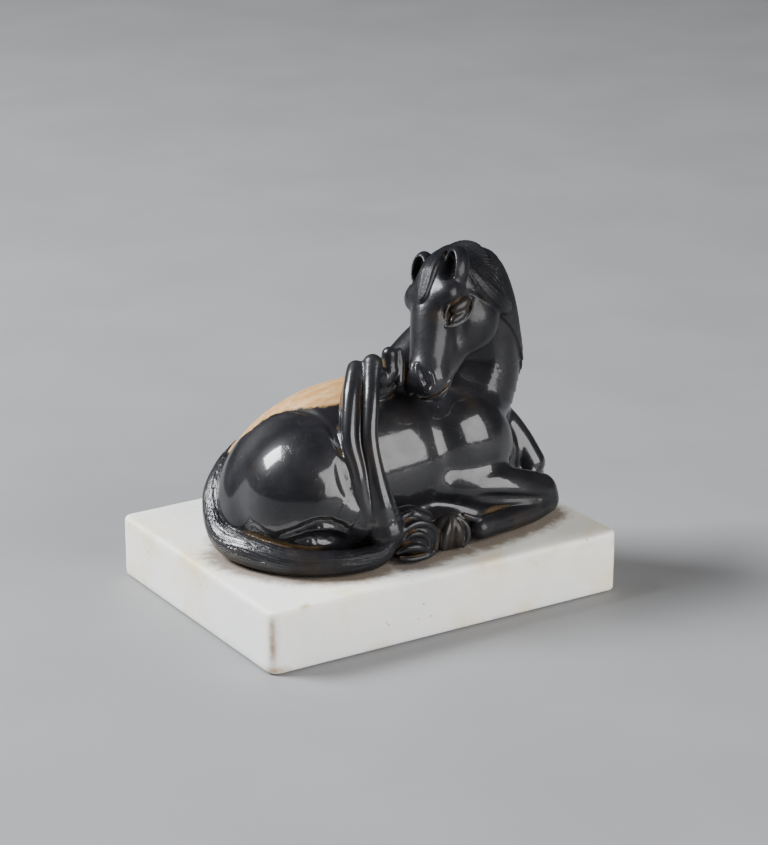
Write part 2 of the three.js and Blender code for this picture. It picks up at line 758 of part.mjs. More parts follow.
// Smallest-first queue
class Queue {
  items = [];
  push(item) {
    const list = this.items;
    let i = list.push(item) - 1;
    while (i > 0) {
      const up = (i - 1) >> 1;
      if (list[up].cost <= list[i].cost) break;
      [list[up], list[i]] = [list[i], list[up]];
      i = up;
    }
  }
  pop() {
    const list = this.items;
    const top = list[0];
    const end = list.pop();
    if (!list.length) return top;
    list[0] = end;
    let i = 0;
    for (;;) {
      let small = 2 * i + 1;
      if (small >= list.length) break;
      if (small + 1 < list.length && list[small + 1].cost < list[small].cost) small++;
      if (list[i].cost <= list[small].cost) break;
      [list[i], list[small]] = [list[small], list[i]];
      i = small;
    }
    return top;
  }
}

// Edges are folded away, least change first, until the wanted number of facets is left
function thinned({ points, triangles }, wanted) {
  const facesOf = points.map(() => new Set());
  const terms = points.map(() => new Array(10).fill(0));
  const version = new Uint32Array(points.length);
  triangles.forEach((tri, n) => {
    const [a, b, c] = tri.map((i) => points[i]);
    const normal = cross(minus(b, a), minus(c, a));
    const area = Math.hypot(...normal);
    if (area > 1e-9) {
      const face = times(normal, 1 / area);
      const plane = planeTerms(face, -dot(face, a), area);
      for (const i of tri) plane.forEach((v, q) => (terms[i][q] += v));
    }
    for (const i of tri) facesOf[i].add(n);
  });
  const neighbours = (i) => {
    const out = new Set();
    for (const n of facesOf[i]) triangles[n].forEach((j) => out.add(j));
    out.delete(i);
    return out;
  };
  const queue = new Queue();
  const offer = (a, b) => {
    const q = terms[a].map((v, i) => v + terms[b][i]);
    const middle = times(add(points[a], points[b]), 0.5);
    const length = Math.hypot(...minus(points[a], points[b]));
    const choices = [middle, points[a], points[b]];
    const best = bestPoint(q);
    if (best && Math.hypot(...minus(best, middle)) < length) choices.push(best);
    const costs = choices.map((p) => planeError(q, p));
    const pick = costs.indexOf(Math.min(...costs));
    queue.push({
      a,
      b,
      to: choices[pick],
      cost: Math.max(costs[pick], 0) + 1e-5 * length ** 4,
      stamp: version[a] + version[b],
    });
  };
  const keepsFacing = (i, other, to) => {
    for (const n of facesOf[i]) {
      const tri = triangles[n];
      if (tri.includes(other)) continue;
      const before = tri.map((j) => points[j]);
      const after = tri.map((j) => (j === i ? to : points[j]));
      const was = cross(minus(before[1], before[0]), minus(before[2], before[0]));
      const now = cross(minus(after[1], after[0]), minus(after[2], after[0]));
      const size = Math.hypot(...now);
      if (dot(was, now) < 0.25 * Math.hypot(...was) * size || size < 1e-4) return false;
      const sides = [0, 1, 2].map((e) => Math.hypot(...minus(after[(e + 1) % 3], after[e])));
      if (size < 0.06 * Math.max(...sides) ** 2) return false;
    }
    return true;
  };
  const sharedOk = (a, b) => {
    const near = neighbours(b);
    return [...neighbours(a)].filter((j) => near.has(j)).length === 2;
  };
  points.forEach((_, a) => neighbours(a).forEach((b) => a < b && offer(a, b)));
  let left = triangles.length;
  const gone = new Set();
  while (left > wanted && queue.items.length) {
    const { a, b, to, stamp } = queue.pop();
    if (gone.has(a) || gone.has(b) || stamp !== version[a] + version[b]) continue;
    if (!sharedOk(a, b) || !keepsFacing(a, b, to) || !keepsFacing(b, a, to)) continue;
    for (const n of facesOf[b]) {
      const tri = triangles[n];
      if (tri.includes(a)) {
        tri.forEach((j) => facesOf[j].delete(n));
        triangles[n] = null;
        left--;
      } else {
        tri[tri.indexOf(b)] = a;
        facesOf[a].add(n);
      }
    }
    points[a] = to;
    terms[a] = terms[a].map((v, i) => v + terms[b][i]);
    gone.add(b);
    version[a]++;
    neighbours(a).forEach((j) => offer(a, j));
  }
  return { points, triangles: triangles.filter(Boolean) };
}

// Points drawn on to the true surface of a form
function drawnTo(form, { points, triangles }, steps, longest) {
  const e = 0.02;
  const slope = (x, y, z) =>
    times(
      [
        form.d(x + e, y, z) - form.d(x - e, y, z),
        form.d(x, y + e, z) - form.d(x, y - e, z),
        form.d(x, y, z + e) - form.d(x, y, z - e),
      ],
      0.5 / e,
    );
  const move = (p) => {
    const g = slope(...p);
    const steep = dot(g, g);
    if (steep < 0.05) return p;
    const step = times(g, -form.d(...p) / steep);
    const length = Math.hypot(...step);
    return add(p, length > longest ? times(step, longest / length) : step);
  };
  let moved = points;
  for (let i = 0; i < steps; i++) moved = moved.map(move);
  return { points: moved, triangles };
}

function geometryOf({ points, triangles }) {
  const geometry = new THREE.BufferGeometry();
  const used = new Map();
  for (const i of triangles.flat()) if (!used.has(i)) used.set(i, used.size);
  const flat = new Float32Array(used.size * 3);
  for (const [i, n] of used) flat.set(points[i], n * 3);
  geometry.setAttribute("position", new THREE.BufferAttribute(flat, 3));
  geometry.setIndex(triangles.flat().map((i) => used.get(i)));
  geometry.computeVertexNormals();
  return geometry;
}

function meshOf(name, geometry, look) {
  const mesh = new THREE.Mesh(geometry, new THREE.MeshStandardMaterial(look));
  mesh.name = name;
  return mesh;
}

// Plinth: a rounded rectangle raised to its height, its edges eased
function makePlinth() {
  const x = PLINTH_LENGTH / 2;
  const y = PLINTH_DEPTH / 2;
  const r = PLINTH_CORNER;
  const outline = new THREE.Shape();
  outline.moveTo(r - x, -y);
  outline.lineTo(x - r, -y);
  outline.absarc(x - r, r - y, r, -Math.PI / 2, 0);
  outline.lineTo(x, y - r);
  outline.absarc(x - r, y - r, r, 0, Math.PI / 2);
  outline.lineTo(r - x, y);
  outline.absarc(r - x, y - r, r, Math.PI / 2, Math.PI);
  outline.lineTo(-x, r - y);
  outline.absarc(r - x, r - y, r, Math.PI, 1.5 * Math.PI);
  const slab = new THREE.ExtrudeGeometry(outline, {
    depth: PLINTH_HEIGHT - 2 * PLINTH_EDGE,
    curveSegments: CORNER_STEPS,
    bevelThickness: PLINTH_EDGE,
    bevelSize: PLINTH_EDGE,
    bevelOffset: -PLINTH_EDGE,
    bevelSegments: EDGE_STEPS,
  });
  return slab.translate(0, 0, PLINTH_EDGE);
}

const horseForm = makeHorse();
const fullSkin = largestSkin(skinOf(horseForm, CARVING_LOW, CARVING_HIGH, CARVING_CELL));
const horseSkin = thinned(drawnTo(horseForm, fullSkin, 2, CARVING_CELL / 3), HORSE_FACETS);

const figure = new THREE.Group();
figure.name = "soapstone_horse";
figure.add(meshOf("horse", geometryOf(horseSkin), { color: 0x1b1b1f, roughness: 0.28, metalness: 0 }));
figure.add(meshOf("plinth", makePlinth(), { color: 0xe6e2d6, roughness: 0.45, metalness: 0 }));

export default figure;
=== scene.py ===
"""Black soapstone horse scratching its muzzle, on a white marble plinth: looks and studio."""

import math
from collections import namedtuple
from concurrent.futures import ThreadPoolExecutor

import bpy
import numpy as np
from mathutils import Euler, Matrix, Vector


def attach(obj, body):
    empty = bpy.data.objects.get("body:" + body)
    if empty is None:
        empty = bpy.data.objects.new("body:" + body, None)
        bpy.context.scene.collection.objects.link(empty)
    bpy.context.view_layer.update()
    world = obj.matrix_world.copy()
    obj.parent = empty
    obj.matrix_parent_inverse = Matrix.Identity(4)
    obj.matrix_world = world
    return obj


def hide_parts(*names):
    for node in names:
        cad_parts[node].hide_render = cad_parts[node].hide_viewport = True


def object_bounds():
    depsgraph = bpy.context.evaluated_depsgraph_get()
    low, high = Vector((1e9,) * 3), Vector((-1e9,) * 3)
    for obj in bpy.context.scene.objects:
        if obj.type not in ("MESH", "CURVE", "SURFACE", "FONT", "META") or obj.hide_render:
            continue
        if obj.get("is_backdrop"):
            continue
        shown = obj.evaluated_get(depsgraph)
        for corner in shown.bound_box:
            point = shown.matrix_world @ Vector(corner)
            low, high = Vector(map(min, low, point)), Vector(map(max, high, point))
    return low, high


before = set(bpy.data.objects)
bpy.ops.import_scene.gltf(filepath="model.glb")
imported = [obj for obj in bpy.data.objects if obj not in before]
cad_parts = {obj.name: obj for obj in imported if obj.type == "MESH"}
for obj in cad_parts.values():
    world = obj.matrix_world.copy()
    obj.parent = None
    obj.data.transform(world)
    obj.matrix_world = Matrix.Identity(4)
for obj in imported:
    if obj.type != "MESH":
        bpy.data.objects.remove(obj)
cad_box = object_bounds()

MM = 0.001

# Plinth, in millimetres like every carving size below
PLINTH = (94.0, 71.4, 15.0)
PLINTH_CORNER = 2.6
PLINTH_EDGE = 1.1

# Where the horse stands, and how finely its skin is drawn
RESTING_GAP = 0.3
HORSE_BASE = PLINTH[2] + RESTING_GAP
CARVING_CELL = 0.3
CARVING_LOW = np.array([-44.4, -33.0, HORSE_BASE - 1.2])
CARVING_HIGH = np.array([48.0, 29.0, 82.8])
BLOCK = 4
MOST_TRIANGLES = 190000
WORKERS = 4

# Softness of the joins, from broad muscle to crisp carving
MUSCLE = 6.0
FLESH = 2.2
SINEW = 1.0
CRISP = 0.45

# Trunk masses: centre and half sizes
RUMP = ((-8, 1, 24), (30.8, 18.2, 25.8))
BARREL = ((2, 0, 31.5), (24, 18.3, 17.6))
CHEST = ((18, 1, 31), (14.5, 17, 16.5))
WITHERS = ((11, 2, 42), (12, 9, 7.4))
NEAR_HAUNCH = ((-19.5, -7.5, 29.6), (17.4, 15.3, 16.6))
FAR_HAUNCH = ((-17, 7.4, 26.8), (16, 13.2, 15.2))
NEAR_SHOULDER = ((19.5, -8.5, 34), (12.5, 11.3, 14))
FAR_SHOULDER = ((20, 10, 33), (11, 9.5, 14))
SHOULDER_POINT = ((26, -8.4, 33), (6.6, 8.2, 8))
SHOULDER_LEAN = -25

# Neck, from the chest to the poll: places and radii
NECK = (
    (19, 1, 34, 14),
    (27.4, 0, 42, 11.2),
    (31, 0, 49, 9.7),
    (31, 0, 56, 9),
    (29.6, 0, 64, 8.7),
    (27, 0.4, 69.9, 8.6),
    (23, -1, 70.8, 7.5),
)

# Where the mane's strands run on to over the poll
FOREHEAD_HAIR = (12, -4, 69.6, 7)

# Head: where the skull sits, which way the face runs, and its side axis
SKULL_AT = np.array([18.8, -4.5, 72.3])
FACE_RUN = np.array([-0.454, -0.399, -0.798])
FACE_SIDE = np.array([0.259, -0.916, 0.31])
EYE_AT = (8.5, 0.8, 6.6)
EYE_SIZE = 0.84
EYE_RUN = (-9.1, -6.4, 2.3)
EAR_SIDE = 5.4
EAR_LEAN = -8
MANE_DEPTH = 0.75
MANE_EDGE_AT = np.array([32.4, -8, 62])
MANE_EDGE_FACING = np.array([0.7, 0.53, 0.47])

# The pale seam in the stone along the back: its near edge at places along the horse, and its ends
SEAM_X = (-34.0, -32.1, -29.4, -24.8, -21.1, -17.7, -13.7, -6.0)
SEAM_Y = (11.0, 8.4, 3.6, 2.2, -0.3, -3.5, -5.7, -7.0)
SEAM_LOW = 34.0
SEAM_END_X = -3.0

# Old stains on the marble: place, size of the patch and strength
STAINS = (
    ((-46.6, -35.3, 8), (1.2, 1.2, 6.5), 1.0),
    ((-46, -35, 1), (5, 4, 1.4), 0.7),
    ((46.6, -35.3, 12), (1.6, 1.6, 4), 0.5),
    ((-46.5, 35, 13), (3, 3, 2), 0.4),
    ((-38, -35, 14.6), (2, 1, 1.2), 0.6),
    ((30, -35.4, 14), (5, 1, 1), 0.35),
    ((-12, -35.4, 14), (3, 1, 1), 0.25),
    ((8, -35.4, 14.4), (9, 1, 0.8), 0.35),
    ((46.6, -10, 14.6), (1, 12, 0.9), 0.4),
    ((-46.8, 10, 14.4), (1, 14, 0.9), 0.35),
    ((-46.8, -20, 1), (1, 9, 1.6), 0.4),
    ((10, -35.6, 0.8), (16, 1, 1.2), 0.3),
)

# Noise cells before it repeats, and straight steps between two stations of a limb
LATTICE = 64
CURVE_STEPS = 4

# A form is a distance function of points (3 x n) with a ball that holds it
Form = namedtuple("Form", "at reach d line", defaults=(None,))


def column(v):
    return np.asarray(v, float).reshape(3, 1)


def unit(v):
    v = np.asarray(v, float)
    return v / np.linalg.norm(v)


def soft_min(a, b, k):
    h = np.maximum(k - np.abs(a - b), 0) / k
    return np.minimum(a, b) - h * h * k * 0.25


def soft_max(a, b, k):
    return -soft_min(-a, -b, k)


def length(p):
    return np.sqrt(p[0] * p[0] + p[1] * p[1] + p[2] * p[2])


def egg(at, half, turn=(0, 0, 0)):
    """An ellipsoid of the given half sizes, turned by degrees about X, Y and Z."""
    to_local = np.array(Euler([math.radians(t) for t in turn], "XYZ").to_matrix()).T
    at, half = column(at), column(half)

    def d(p):
        q = to_local @ (p - at) / half
        k0 = length(q)
        k1 = length(q / half)
        return k0 * (k0 - 1) / np.maximum(k1, 1e-9)

    return Form(at.ravel(), float(half.max()), d)


def mass(sizes, turn=(0, 0, 0)):
    return egg(*sizes, turn)


def curve_terms(stations):
    """Terms of the even curve through stations (x, y, z, radius): four for each span between two."""
    s = np.asarray(stations, float)
    terms = []
    for i in range(len(s) - 1):
        p0, p1, p2, p3 = s[max(i - 1, 0)], s[i], s[i + 1], s[min(i + 2, len(s) - 1)]
        bend = 2 * p0 - 5 * p1 + 4 * p2 - p3
        turn = 3 * p1 - p0 - 3 * p2 + p3
        terms.append((p1, (p2 - p0) / 2, bend / 2, turn / 2))
    return np.array(terms)


def on_curve(terms, place):
    """Stations at places along a curve, as an n x 4 array; a whole number is a station."""
    span = np.minimum(place.astype(int), len(terms) - 1)
    t = (place - span)[:, None]
    k = terms[span]
    return ((k[:, 3] * t + k[:, 2]) * t + k[:, 1]) * t + k[:, 0]


def run_of_curve(terms, place):
    """How a curve runs at places along it, as an n x 3 array."""
    span = np.minimum(place.astype(int), len(terms) - 1)
    t = (place - span)[:, None]
    k = terms[span][:, :, :3]
    return (3 * k[:, 3] * t + 2 * k[:, 2]) * t + k[:, 1]


def ball_around(balls):
    low = np.min([np.asarray(at) - reach for at, reach in balls], axis=0)
    high = np.max([np.asarray(at) + reach for at, reach in balls], axis=0)
    return (low + high) / 2, float(np.linalg.norm(high - low) / 2)


def limb(*stations):
    """A round limb that tapers along its stations."""
    terms = curve_terms(stations)
    line = on_curve(terms, np.linspace(0, len(terms), len(terms) * CURVE_STEPS + 1))

    def d(p):
        best = np.full(p.shape[1], np.inf)
        place = np.zeros(p.shape[1])
        for i, (a, b) in enumerate(zip(line, line[1:])):
            along = b[:3] - a[:3]
            q = p - column(a[:3])
            t = np.clip(along @ q / max(along @ along, 1e-9), 0, 1)
            q -= column(along) * t
            here = length(q) - a[3] - (b[3] - a[3]) * t
            closer = here < best
            best[closer] = here[closer]
            place[closer] = i + t[closer]
        place /= CURVE_STEPS
        run = run_of_curve(terms, place)
        off = p.T - on_curve(terms, place)[:, :3]
        place += (off * run).sum(axis=1) / np.maximum((run * run).sum(axis=1), 1e-6)
        nearest = on_curve(terms, np.clip(place, 0, len(terms)))
        return length(p - nearest[:, :3].T) - nearest[:, 3]

    return Form(*ball_around([(s[:3], s[3]) for s in line]), d, line)


def away(form, p):
    return length(p - column(form.at)) - form.reach


def joined(k, *forms):
    def d(p):
        best = np.full(p.shape[1], np.inf)
        for form in forms:
            near = np.flatnonzero(away(form, p) <= best + k)
            if len(near):
                best[near] = soft_min(best[near], form.d(p[:, near]), k)
        return best

    return Form(*ball_around([(f.at, f.reach) for f in forms]), d)


def carved(k, body, *cuts):
    def d(p):
        here = body.d(p)
        for cut in cuts:
            near = np.flatnonzero(-away(cut, p) >= here - k)
            if len(near):
                here[near] = soft_max(here[near], -cut.d(p[:, near]), k)
        return here

    return Form(body.at, body.reach, d)


def placed(at, axes, form):
    """A form drawn on its own axes, set into place."""
    axes = np.array(axes)
    at = np.asarray(at, float)
    return Form(at + form.at @ axes, form.reach, lambda p: form.d(axes @ (p - column(at))))


def sized(size, form):
    """A form made larger or smaller about its own origin."""
    return Form(form.at * size, form.reach * size, lambda p: form.d(p / size) * size)


def shell(form, depth, k, region):
    """A form grown outwards by a depth, kept only inside a region."""
    return Form(form.at, form.reach + depth, lambda p: soft_max(form.d(p) - depth, region(p), k))


def both_sides(draw):
    return [draw(1), draw(-1)]


# Trunk, legs and tail


def make_trunk():
    core = joined(
        MUSCLE, mass(RUMP), mass(BARREL, (0, 3, 0)), mass(CHEST), mass(WITHERS, (0, 16, 0))
    )
    lean = (0, SHOULDER_LEAN, 0)
    muscled = joined(
        2,
        core,
        mass(NEAR_HAUNCH),
        mass(FAR_HAUNCH),
        mass(NEAR_SHOULDER, lean),
        mass(FAR_SHOULDER, lean),
        mass(SHOULDER_POINT),
    )
    thigh = limb((-20, -12.6, 30, 10.3), (-15, -16.8, 27, 8), (-11.5, -19.5, 24, 5.2))
    far_stifle = limb((-17, 12, 27, 9), (-9, 16.5, 24, 6.5), (-4, 18.5, 21, 4.2))
    return joined(1.5, muscled, thigh, far_stifle)


def make_raised_leg():
    """Raised near hind leg: the shin, and the folded foot beside the muzzle."""
    shin = limb(
        (-9.8, -23.1, 23.2, 5),
        (-10.8, -23.2, 29, 3.4),
        (-11.7, -22.2, 36, 2.3),
        (-11.8, -20, 43.9, 1.9),
        (-9.4, -16.5, 50.8, 1.9),
        (-7.1, -13.1, 55.3, 2),
        (-5.4, -10.8, 58.2, 2.3),
    )
    cannon = limb((-4.4, -10.4, 56, 2), (-2.4, -10.4, 54, 2), (-0.6, -10.2, 55.4, 2.2))
    foot_bed = egg((-1.2, -7.5, 53), (5.2, 3, 5))
    fetlock = limb((-0.4, -9.8, 55.4, 2.1), (-0.1, -9.5, 59.2, 1.8))
    hoof = limb((2.3, -9.6, 59.5, 0.9), (1.9, -10.6, 56, 1.3), (1, -12, 53.2, 1.1))
    return joined(CRISP, joined(SINEW, shin, cannon, foot_bed), fetlock, hoof)


def make_tendon():
    return limb(
        (-13.2, -22.8, 25, 1.7),
        (-15, -22.6, 29.4, 1.75),
        (-15.8, -20.8, 37.8, 1.8),
        (-16.1, -18.2, 44.2, 1.9),
        (-13.1, -13.8, 51.9, 1.9),
        (-10.2, -10.4, 55.6, 2),
        (-8.6, -8.8, 56.9, 2.1),
    )


def make_leg_web():
    """The stone left between shin, tendon and flank."""
    return limb(
        (-12.6, -20.6, 24, 3.2),
        (-13.4, -19.3, 33, 3.1),
        (-13.9, -16.6, 42, 3.2),
        (-12, -12.6, 49.4, 3),
        (-8.3, -8.8, 54.4, 2.8),
    )


def make_tail():
    """Tail, swept round the near haunch to end beside the stifle."""
    return limb(
        (-26.5, 15, 34.5, 1.4),
        (-31.6, 12, 31, 2.5),
        (-36.6, 7.5, 26, 3.1),
        (-38.8, 0, 19.8, 3.3),
        (-37.2, -9.3, 18.6, 3.4),
        (-31.2, -18.8, 18, 3.2),
        (-23.2, -23.9, 17.8, 3),
        (-15.2, -25.4, 17.9, 2.8),
        (-11.2, -26, 19.8, 2.3),
        (-9, -25.9, 23.2, 1.5),
        (-6.6, -25.2, 25.6, 1.1),
        (-3.6, -24.6, 26.4, 0.7),
    )


def make_forelegs():
    """Folded forelegs and the stone under the chest and belly."""
    near_forearm = limb(
        (12, -13.5, 26.5, 5.5), (21, -17.2, 25.6, 5.4), (30, -18, 23.2, 4.8), (37.2, -16.4, 20.6, 4.5)
    )
    far_forearm = limb(
        (30, 3, 38.5, 5.6), (35.6, -1, 34.6, 4.2), (39, -4, 29.9, 3.7), (41.2, -7, 24.2, 3.7)
    )
    bed = limb((-6, -17, 18.5, 5), (14, -16.5, 18.2, 4.8), (26, -15.5, 18.2, 4.6))
    under_chest = [egg((26, -6, 20), (12, 10, 8)), egg((31, -4.5, 27), (6.5, 7, 9))]
    between_knees = egg((38.5, -11.4, 19.6), (3, 3.4, 3.4))
    return [near_forearm, far_forearm, bed, between_knees, *under_chest]


def make_cannons():
    near = limb(
        (38, -17.4, 18.8, 3.7), (32, -20.4, 18, 2.9), (23.5, -22.8, 18.2, 2.7), (15, -24.6, 18.6, 2.7)
    )
    far = limb((41.2, -7, 20.5, 3.6), (34, -3, 18.8, 3.6), (24, 0, 18.8, 3.6))
    hind_pastern = limb((-8.2, -22, 24.2, 1.9), (-3.2, -22.2, 25, 2.2), (1.2, -22.4, 23.2, 2))
    return [near, far, hind_pastern]


def make_hind_hoof():
    """Far hind hoof, its sole turned to the front of the carving: wall, sole ring, frog and heel."""
    wall = limb(
        (-8.6, -26.4, 19.9, 0.6),
        (-7.9, -26.6, 22.6, 0.85),
        (-4, -26.9, 24.4, 0.95),
        (-0.2, -26.9, 23.2, 0.95),
        (1.5, -26.7, 20.4, 0.95),
        (1.1, -27, 17.4, 0.9),
    )
    ring = limb(
        (-7.3, -27, 20.9, 0.45),
        (-5.3, -27.3, 22.1, 0.7),
        (-2.9, -27.4, 21.8, 0.8),
        (-1, -27.2, 20.2, 0.75),
        (-0.6, -27.2, 18, 0.6),
    )
    frog = limb(
        (-8.9, -26.9, 18.2, 0.35),
        (-6.5, -27.5, 19.1, 0.9),
        (-3.7, -27.7, 18.8, 1.1),
        (-1.2, -27.5, 17.4, 0.6),
    )
    heel = limb(
        (-7.9, -26.7, 16.6, 0.6),
        (-5.3, -27.6, 16.2, 0.8),
        (-1.7, -27.6, 16.2, 0.8),
        (0.6, -27.1, 16.5, 0.7),
    )
    bed = egg((-3.6, -24.4, 19.9), (5.2, 2.7, 5), (14, 0, -25))
    return joined(0.25, bed, wall, ring, frog, heel)


def make_fore_hoof():
    """Near fore hoof, cleft at the heel, with its fetlock."""
    crescent = limb(
        (8.6, -25.3, 22.8, 0.45), (10.3, -26, 20.6, 0.8), (10.4, -26.5, 18, 0.8), (9, -26.8, 16.2, 0.5)
    )
    fetlock = limb(
        (10.6, -24.6, 22.8, 0.6), (12.8, -25, 21.6, 0.8), (15, -25, 20.6, 0.8), (14.4, -25.4, 17.8, 0.9)
    )
    leaf = limb(
        (6.4, -25.4, 23.4, 0.3), (5.4, -26, 21.4, 1.1), (4.2, -26.3, 19, 1.3), (3.8, -26.4, 16.8, 0.9)
    )
    bed = egg((6.4, -24.2, 19.2), (4.4, 2.5, 4.9), (0, 4, 0))
    sole = egg((8, -25, 18.8), (2, 2.4, 3.9), (0, -4, 0))
    return joined(0.25, bed, sole, leaf, crescent, fetlock)


def make_neck():
    return limb(*NECK)


# Head


def head_axes():
    """Head axes: down the face, out of the forehead, towards the near side."""
    run = unit(FACE_RUN)
    side = unit(FACE_SIDE - run * (FACE_SIDE @ run))
    return np.array([run, np.cross(run, side), side])


def eye_axes(side):
    run = unit((EYE_RUN[0], EYE_RUN[1], EYE_RUN[2] * side))
    outward = np.array([-0.1, 0.35, side])
    out = unit(outward - run * (outward @ run))
    up = np.cross(out, run)
    return np.array([run, -up if up[0] > 0 else up, out])


def in_eye(side, form):
    return placed((EYE_AT[0], EYE_AT[1], EYE_AT[2] * side), eye_axes(side), sized(EYE_SIZE, form))


def make_eye(side):
    """Eye: a heavy upper lid over the ball, a fold above it and a thin lower lid."""
    ball = egg((-0.9, -0.9, -0.1), (3.6, 1.5, 1.1))
    upper_lid = egg((1.3, 1.1, 0.4), (3.6, 1.9, 1.5), (0, 0, -6))
    fold = limb(
        (-4.6, 0.8, -0.7, 0.3),
        (-3, 2.4, -0.2, 0.35),
        (0.4, 3.6, 0.1, 0.4),
        (3.8, 2.8, 0, 0.35),
        (6, 0.2, -0.5, 0.25),
    )
    lower_lid = limb(
        (-5.8, -0.9, -0.5, 0.4),
        (-3.4, -2.4, -0.1, 0.4),
        (0.4, -2.8, 0, 0.42),
        (3.6, -1.7, 0.1, 0.4),
        (6, 0.3, -0.4, 0.3),
    )
    slit = limb((-4.8, -0.5, 1, 0.35), (-2, -0.1, 1.3, 0.5), (1, -0.6, 1.5, 0.5), (4.4, -0.3, 1, 0.4))
    return in_eye(side, carved(0.3, joined(0.35, joined(0.3, ball, fold, lower_lid), upper_lid), slit))


def make_socket(side):
    """The hollow round the eye, deepest beside the bridge of the nose."""
    hollow = joined(1.2, egg((0, 0.2, 1.2), (5.6, 3, 1.9)), egg((-2.6, 2, 1), (2.4, 1.8, 1.9)))
    return in_eye(side, hollow)


def make_ear(side):
    return egg((-2, 3, EAR_SIDE * side), (5, 2.9, 2.9), (0, EAR_LEAN, 0))


def make_ear_cup(side):
    return egg((-1.2, 5.8, (EAR_SIDE - 0.2) * side), (3.8, 3.6, 1.9), (0, EAR_LEAN, 0))


def make_nostril(side):
    return limb(
        (23.2, 6.1, 1.6 * side, 0.5),
        (24.1, 5.6, 2.5 * side, 0.95),
        (25.5, 4.7, 3.2 * side, 1.1),
        (26.8, 3.7, 3.2 * side, 0.6),
    )


def make_nostril_rim(side):
    """The flared rim round a nostril, open towards the cheek."""
    return limb(
        (22.6, 5.4, 0.9 * side, 0.4),
        (24.4, 5, 1.3 * side, 0.6),
        (26.6, 3.8, 1.9 * side, 0.65),
        (28, 2.4, 3.2 * side, 0.5),
        (26.8, 2.6, 4.5 * side, 0.45),
        (24.6, 3.8, 4.4 * side, 0.45),
    )


def make_mouth(side):
    return limb(
        (28.6, 0.6, 0, 0.5),
        (27.8, 0, 2.4 * side, 0.55),
        (25.4, -1.4, 4 * side, 0.6),
        (22.6, -3, 4.6 * side, 0.5),
    )


def make_forelock_leaf():
    return egg((0.4, 6, 0.7), (8.2, 6, 2.3))


def make_head():
    """Head with brows, eyes, ears, nostrils, mouth and forelock, on its own axes."""
    brows = both_sides(lambda side: egg((5, 3.8, 4.8 * side), (3.5, 3, 3.2)))
    bridge = limb(
        (2, 1.2, 0, 6.2),
        (8, 2.1, 0, 5.6),
        (13, 1.8, 0, 5.2),
        (18, 1.2, 0, 4.8),
        (23, 0.8, 0, 4.5),
    )
    jaw = limb((8, -7, 0, 6), (15, -4.5, 0, 4.4), (22, -1.8, 0, 3.8), (25, -1.2, 0, 3.7))
    jowl = egg((6.3, -7, 0), (8.8, 8.7, 8.4))
    muzzle = egg((24.3, 0.6, 0), (4.4, 4.7, 4.6))
    plain = joined(2.2, egg((0.6, -0.8, 0), (7.6, 7.3, 7.4)), jowl, bridge, jaw, muzzle, *brows)
    plain = joined(0.8, plain, *both_sides(make_nostril_rim))
    forelock = shell(plain, 0.7, 0.4, make_forelock_leaf().d)
    socketed = carved(0.8, plain, *both_sides(make_socket))
    eared = joined(0.6, socketed, *both_sides(make_ear))
    lidded = joined(0.35, eared, forelock, *both_sides(make_eye))
    cuts = [cut for draw in (make_ear_cup, make_nostril, make_mouth) for cut in both_sides(draw)]
    return carved(0.5, lidded, *cuts)


def mane_region(axes):
    """Negative where the mane lies: behind its front edge on the neck and behind the ears."""
    facing = unit(MANE_EDGE_FACING)

    def region(p):
        s, f, _ = axes @ (p - column(SKULL_AT))
        behind_edge = -(facing @ (p - column(MANE_EDGE_AT)))
        behind_ears = soft_max(s - 3 + 0.06 * f, f - 0.5, 1.5)
        return soft_min(behind_edge, behind_ears, 2)

    return region


def make_mane_layer(neck, axes):
    poll = placed(SKULL_AT, axes, egg((1.2, -3, 0), (7.6, 7.6, 7.4)))
    return shell(joined(2, neck, poll), MANE_DEPTH, 0.5, mane_region(axes))


def make_cheek_lock():
    """The loose lock across the near jowl, on the head's axes."""
    return limb(
        (-2.6, 2.6, 6, 1.1),
        (-0.4, -1.2, 6.8, 2),
        (1.2, -5, 7, 2.7),
        (1.8, -9.4, 6.6, 2.8),
        (1.4, -14.4, 4.9, 2.1),
    )


# Hollows and creases


def make_hollows():
    """Hollows: under the lip of the thigh, and the eye-shaped recess."""
    under_lip = limb(
        (-34.6, -12.8, 22, 0.4),
        (-32.4, -17.2, 24.4, 0.8),
        (-29.9, -19.9, 25.9, 1.1),
        (-27.1, -21.6, 27, 1.4),
        (-23.9, -22.8, 27, 1.4),
        (-20.5, -23.6, 25, 1.2),
        (-17.1, -24.2, 21.8, 0.9),
        (-14.4, -26, 20.6, 0.8),
    )
    recess = limb(
        (-31.1, -17.6, 22.3, 0.8),
        (-28.4, -19.8, 22.9, 1.9),
        (-25.3, -21.3, 22.9, 2.3),
        (-21.8, -22.3, 22.2, 2.1),
        (-18.4, -24, 21, 1),
    )
    return [under_lip, recess]


def make_creases():
    """Creases: along the crest of the haunch, down beside the raised leg, above the near cannon."""
    haunch_crest = limb(
        (-26.6, 4, 45.2, 0.3),
        (-22.2, 0, 47.5, 0.8),
        (-18.6, -4.8, 47.6, 0.9),
        (-17.4, -10.6, 46.6, 0.9),
        (-17.8, -15.5, 44.4, 0.9),
        (-18, -18.5, 41.6, 0.6),
    )
    valley = limb(
        (-18.6, -18.4, 44, 0.7),
        (-19.9, -21.4, 39.6, 1.7),
        (-19.6, -23.6, 35.4, 2.1),
        (-18, -24.8, 31.6, 1.8),
        (-16.4, -25.4, 28.4, 0.8),
    )
    above_cannon = limb(
        (3, -23, 25, 2.2),
        (12, -23.2, 24.8, 2.2),
        (20, -23.2, 23.9, 1.7),
        (28, -22.9, 22.6, 1.1),
        (34, -22.2, 21.3, 0.5),
    )
    return [haunch_crest, valley, above_cannon]


